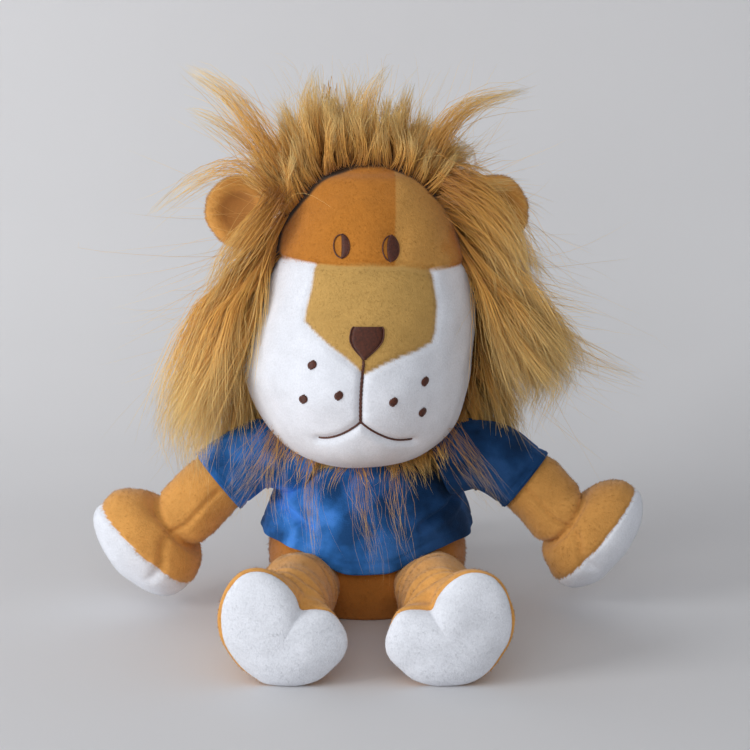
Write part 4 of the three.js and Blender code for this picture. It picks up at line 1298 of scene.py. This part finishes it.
class LION_OT_arms(bpy.types.Operator):
    """Makes the two arms with their white palms, and the sleeves over them"""
    bl_idname = "lion.arms"
    bl_label = "Arms"

    def execute(self, context):
        tints = colours()
        for name, side in SIDES:
            spine = Spine(ARM_LINES[name])
            tint, finish = np.array(tints.orange), "orange"
            if side > 0:
                tint, finish = tint * RIGHT_ARM_SHADE, "shaded orange"

            def section(share, turn):
                return arm_section(share, turn, side)

            arm, polar, turn = add_ball(f"arm_plush_{name}", 96, 160)
            share = (1 - np.cos(polar)) / 2
            base = limb_points(spine, section, (0, 1, 0), 12.5 * MM, polar, turn)
            # The paw reaches further above the arm than below it
            lift = (3.6 * MM * smoothstep(share, WRIST - 0.02, PAW_FULL)
                    * (1 - 0.5 * smoothstep(share, 0.86, 1)))
            base += lift[:, None] * np.array([0.73 * side, 0, 0.68])
            set_places(arm, base)
            arm.data.flip_normals()
            out = normals(arm)
            tilted = paw_share(share, turn, side)
            # One seam runs down the front of the arm and over the paw
            front = -math.pi / 2
            off = np.abs((turn - front - side * (0.1 + 0.3 * smoothstep(tilted, WRIST, 0.85)) + math.pi)
                         % (2 * math.pi) - math.pi)
            push = 0.35 * lumps(base, 0.012, 14)
            tube = smoothstep(share, CUFF, CUFF + 0.03) * (1 - smoothstep(tilted, WRIST - 0.01, WRIST + 0.01))
            push -= 1.0 * tube * bell(off / 0.085)
            palm_seam = PALM_START + 0.045 * np.maximum(-np.sin(turn), -0.4)
            paw = (smoothstep(tilted, WRIST, WRIST + 0.04)
                   * (1 - smoothstep(share, palm_seam + 0.02, palm_seam + 0.1)))
            push -= 1.5 * paw * bell(off / 0.09)
            # The others run round the wrist and the palm, and the skin gathers in folds above the wrist
            push -= 1.0 * bell((tilted - WRIST) / 0.010)
            push -= 0.5 * bell((share - palm_seam) / 0.008)
            push += 0.3 * (bell((tilted - WRIST + 0.05) / 0.03) * np.sin(turn * 3 + 40 * share))
            set_places(arm, base + out * (push * MM)[:, None])
            palm = (share > palm_seam).astype(float)
            dress(arm, mixed(tint, tints.white, palm), f"arm_{name}", 0.85, f"arm_{name}", f"palm_{name}",
                  f"arm_stuffing_{name}")
            shown = (share > CUFF - 0.06) & (share < palm_seam)
            lay = (0.4 * side, 0, -0.4)
            pile(f"arm_pile_{name}", arm, shown, 11000, finish, tint, f"arm_{name}", lay, size=0.8, seed=34)
            pile(f"palm_pile_{name}", arm, palm, 5500, "white", tints.white, f"arm_{name}", lay,
                 size=0.6, lean_by=2.2, seed=35)

            def sleeve_points(u, v):
                # The last rows turn back under the cuff as its hem
                along = np.minimum(v / 0.93, 1)
                tuck = np.clip((v - 0.93) / 0.07, 0, 1)
                place = 0.03 + (CUFF - 0.03) * along - 0.02 * tuck
                round_it = u * 2 * math.pi
                ease = (12.4 + 0.35 * along - 1.1 * tuck) * MM
                at = limb_points(spine, lambda s, t: (ease, ease * 0.95), (0, 1, 0), 1 * MM,
                                 np.arccos(1 - 2 * place), round_it)
                out = unit(at - spine.at(place))
                folds = 0.55 * lumps(at, 0.011, 15) * (1 - 0.6 * along)
                folds = folds + 0.3 * np.sin(round_it * 4 + 6 * along) * along
                stitch = -0.5 * bell((along - 0.90) / 0.012) * (tuck == 0)
                return at + out * ((folds * (1 - tuck) + stitch) * MM)[:, None]

            sleeve, area = cloth_tube(f"sleeve_knit_{name}", 112, 60, sleeve_points, 0.7 * MM,
                                      f"sleeve_{name}")
            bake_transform(sleeve)
        return {"FINISHED"}


# Legs


# The foot's radius at 24 even turns, as shares of FOOT_HALF. The foot's middle lies FOOT_OUT to the side, its
# sole FOOT_END in front, and the sole is SOLE thick at its round edge, all in mm
FOOT_SHARES = (0.90, 0.86, 0.80, 0.63, 0.52, 0.68, 0.86, 1.03, 1.12, 1.09, 1.01, 0.95,
               0.88, 0.82, 0.78, 0.75, 0.73, 0.70, 0.69, 0.71, 0.74, 0.79, 0.83, 0.88)
FOOT_HALF, FOOT_OUT, FOOT_END, SOLE = 23.6, 27.8, 102, 6.5


def foot_radius(turn):
    """The foot's radius towards one turn, from the inner edge up over the toes."""
    table = np.array(FOOT_SHARES)
    place = (turn / (2 * math.pi) * len(table)) % len(table)
    low = np.floor(place).astype(int)
    t = place - low
    before, start, end, after = (table[(low + k) % len(table)] for k in (-1, 0, 1, 2))
    curve = start + t * ((end - before) / 2 + t * (before - 2.5 * start + 2 * end - after / 2
                                                   + t * (1.5 * (start - end) + (after - before) / 2)))
    return FOOT_HALF * curve * MM


class LION_OT_legs(bpy.types.Operator):
    """Makes the two legs with their upright white soles"""
    bl_idname = "lion.legs"
    bl_label = "Legs"

    def execute(self, context):
        tints = colours()
        for name, side in SIDES:
            def section(share, turn):
                open_out = smoothstep(share, 0.7, 1 - SOLE / FOOT_END)
                foot = foot_radius(turn if side < 0 else math.pi - turn)
                tall = (11.5 + 5.5 * smoothstep(share, 0.2, 0.5)) * MM
                return 13 * MM * (1 - open_out) + foot * open_out, tall * (1 - open_out) + foot * open_out

            spine = Spine([(side * 22, -20, 11.7), (side * 24.9, -61, 16),
                           (side * FOOT_OUT, -FOOT_END, FOOT_HALF * 0.69 - 0.5)])
            leg, polar, turn = add_ball(f"leg_plush_{name}", 128, 150)
            base = limb_points(spine, section, (0, 0, 1), SOLE * MM, polar, turn)
            set_places(leg, base)
            leg.data.flip_normals()
            y = base[:, 1] / MM
            push = 0.4 * lumps(base, 0.013, 17) - 1.1 * bell((y + FOOT_END - SOLE) / 0.9)
            # The skin gathers in folds across the ankle and round the thigh
            folds = bell((y + 82) / 9) * np.sin(y * 0.9 + 2.0 * np.sin(turn * 2))
            folds += bell((y + 48) / 10) * np.sin(y * 0.7 + 1.5 * np.cos(turn * 2 + 1))
            push += 0.55 * folds
            # The sole is fullest in the middle and puckers at its seam
            cushion = bell(np.hypot(base[:, 0] / MM - side * FOOT_OUT, base[:, 2] / MM - 18) / 15)
            push += 1.2 * cushion * smoothstep(-y, 97, 101)
            push *= smoothstep(base[:, 2] / MM, 0.0, 2.5)
            shaped = base + normals(leg) * (push * MM)[:, None]
            shaped[:, 2] = np.maximum(shaped[:, 2], 0)
            set_places(leg, shaped)
            sole, off_floor = y < -FOOT_END + SOLE - 0.6, shaped[:, 2] > 0.6 * MM
            dress(leg, mixed(tints.orange, tints.white, sole.astype(float)), f"leg_{name}", 0.9,
                  f"leg_{name}", f"sole_{name}", f"leg_stuffing_{name}")
            pile(f"leg_pile_{name}", leg, ~sole & (y < -24) & off_floor, 11000, "orange", tints.orange,
                 f"leg_{name}", (0, -0.5, -0.2), size=0.8, seed=36)
            pile(f"sole_pile_{name}", leg, sole & off_floor, 10000, "white", tints.white, f"leg_{name}",
                 (0, 0, -0.6), size=0.6, lean_by=2.2, seed=37)
        return {"FINISHED"}


class LION_OT_tail(bpy.types.Operator):
    """Makes the plush tail with its tuft of long hair"""
    bl_idname = "lion.tail"
    bl_label = "Tail"

    def execute(self, context):
        tints = colours()
        spine = Spine([(0, 28, 12), (1, 38, 9.5), (4, 51, 8), (10, 62, 7.6)])
        tail, polar, turn = add_ball("tail_plush", 48, 64)
        base = limb_points(spine, lambda s, t: (5 * MM, 5 * MM), (0, 0, 1), 5 * MM, polar, turn)
        set_places(tail, base)
        tail.data.flip_normals()
        set_places(tail, base + normals(tail) * (0.3 * MM * lumps(base, 0.01, 19))[:, None])
        dress(tail, tints.orange, "tail", 0.8, "tail_tube")
        pile("tail_pile", tail, np.ones(len(base)), 4000, "orange", tints.orange, "tail", (0, 0.5, -0.1),
             seed=38)

        rng = np.random.default_rng(81)
        count, steps = 1000, 5
        tip = spine.at(np.full(count, 0.93))
        way = spine.tangent(np.full(count, 1.0))
        way[:, 2] = 0
        way = unit(way)
        roots = tip + rng.normal(size=(count, 3)) * 1.6 * MM
        fan = unit(way * 1.5 + rng.normal(size=(count, 3)) * 0.6)
        share = np.linspace(0, 1, steps)
        reach = rng.uniform(15, 22, count) * MM
        heading = (fan[:, None] * (1 - 0.55 * share[None, :, None])
                   + way[:, None] * 0.55 * share[None, :, None])
        path = roots[:, None] + heading * (share[None, :] * reach[:, None])[..., None]
        path[..., 2] = np.maximum(path[..., 2] - 3 * MM * share ** 2, 0.4 * MM)
        half = sizes().hair_width / 2 * rng.uniform(0.6, 1.2, count)
        tuft = strands("tail_tuft_hair", path, half, rng.integers(0, TONES, count), "tail")
        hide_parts("tail_tuft")
        return {"FINISHED"}


# Stage


class LION_OT_stage(bpy.types.Operator):
    """Sets up the paper sweep, the soft window light and the camera"""
    bl_idname = "lion.stage"
    bl_label = "Stage"

    def execute(self, context):
        scene = context.scene
        scene.view_settings.view_transform = "Standard"

        bpy.ops.object.select_all(action="DESELECT")
        bpy.ops.mesh.primitive_grid_add(x_subdivisions=2, y_subdivisions=60, size=1)
        sweep = context.object
        sweep.name = sweep.data.name = "paper_sweep"
        flat = places(sweep)
        share = flat[:, 1] + 0.5
        # The paper lies level, bends up behind the lion on an arc and rises from there
        front, back, bend, rise = -2.0, 0.14, 0.14, 2.0
        level, arc = back - front, bend * math.pi / 2
        run = share * (level + arc + rise)
        turn = np.clip((run - level) / bend, 0, math.pi / 2)
        y = front + np.minimum(run, level) + bend * np.sin(turn)
        z = bend * (1 - np.cos(turn)) + np.maximum(run - level - arc, 0)
        set_places(sweep, np.stack([flat[:, 0] * 5.0, y, z - 0.0002], 1))
        smooth(sweep)
        sweep.data.materials.append(paper_material("Grey seamless paper", "#dfdedf"))

        def lamp(name, place, size, power, tint):
            """A square lamp that points at the middle of the lion"""
            data = bpy.data.lights.new(name, "AREA")
            data.shape, data.size, data.energy = "SQUARE", size, power
            data.color = linear(tint)[:3]
            light = bpy.data.objects.new(name, data)
            context.collection.objects.link(light)
            light.location = place
            aim = Vector((0, 0, 0.09)) - Vector(place)
            light.rotation_euler = aim.to_track_quat("-Z", "Y").to_euler()

        lamp("window", (-1.36, -0.75, 0.5), 0.7, 14, "#fbfdff")
        lamp("room_fill", (-0.3, -1.6, 0.9), 1.4, 6.5, "#ffffff")

        world = bpy.data.worlds.new("Room")
        scene.world = world
        world.use_nodes = True
        sky = world.node_tree.nodes["Background"].inputs
        sky["Color"].default_value, sky["Strength"].default_value = linear("#e9edf2"), 0.44

        # The camera looks down at the lion by 13 degrees from 0.85 m
        elevation = math.radians(13)
        target = np.array((0.0029, 0, 0.0826))
        place = target + 0.85 * np.array((0, -math.cos(elevation), math.sin(elevation)))
        data = bpy.data.cameras.new("camera")
        data.sensor_width, data.lens = 36, 113
        camera = bpy.data.objects.new("camera", data)
        context.collection.objects.link(camera)
        camera.location = place
        camera.rotation_euler = (math.pi / 2 - elevation, 0, 0)
        scene.camera = camera
        return {"FINISHED"}


OPERATORS = (LION_OT_stage, LION_OT_head, LION_OT_embroidery, LION_OT_ears, LION_OT_mane, LION_OT_torso,
             LION_OT_shirt, LION_OT_arms, LION_OT_legs, LION_OT_tail)


class LION_PT_panel(bpy.types.Panel):
    """Lists the lion's pieces and its sizes and colours"""
    bl_idname = "LION_PT_panel"
    bl_label = "Plush lion"
    bl_space_type = "VIEW_3D"
    bl_region_type = "UI"
    bl_category = "Lion"

    def draw(self, context):
        for group in (context.scene.lion_sizes, context.scene.lion_colours):
            for name in group.__annotations__:
                self.layout.prop(group, name)
        for operator in OPERATORS:
            self.layout.operator(operator.bl_idname)


def register():
    for kind in (LionSizes, LionColours, *OPERATORS, LION_PT_panel):
        bpy.utils.register_class(kind)
    bpy.types.Scene.lion_sizes = PointerProperty(type=LionSizes)
    bpy.types.Scene.lion_colours = PointerProperty(type=LionColours)


def unregister():
    del bpy.types.Scene.lion_colours
    del bpy.types.Scene.lion_sizes
    for kind in (LION_PT_panel, *reversed(OPERATORS), LionColours, LionSizes):
        bpy.utils.unregister_class(kind)


def main():
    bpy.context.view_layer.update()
    register()
    for operator in OPERATORS:
        group, name = operator.bl_idname.split(".")
        getattr(getattr(bpy.ops, group), name)()


if __name__ == "__main__":
    main()
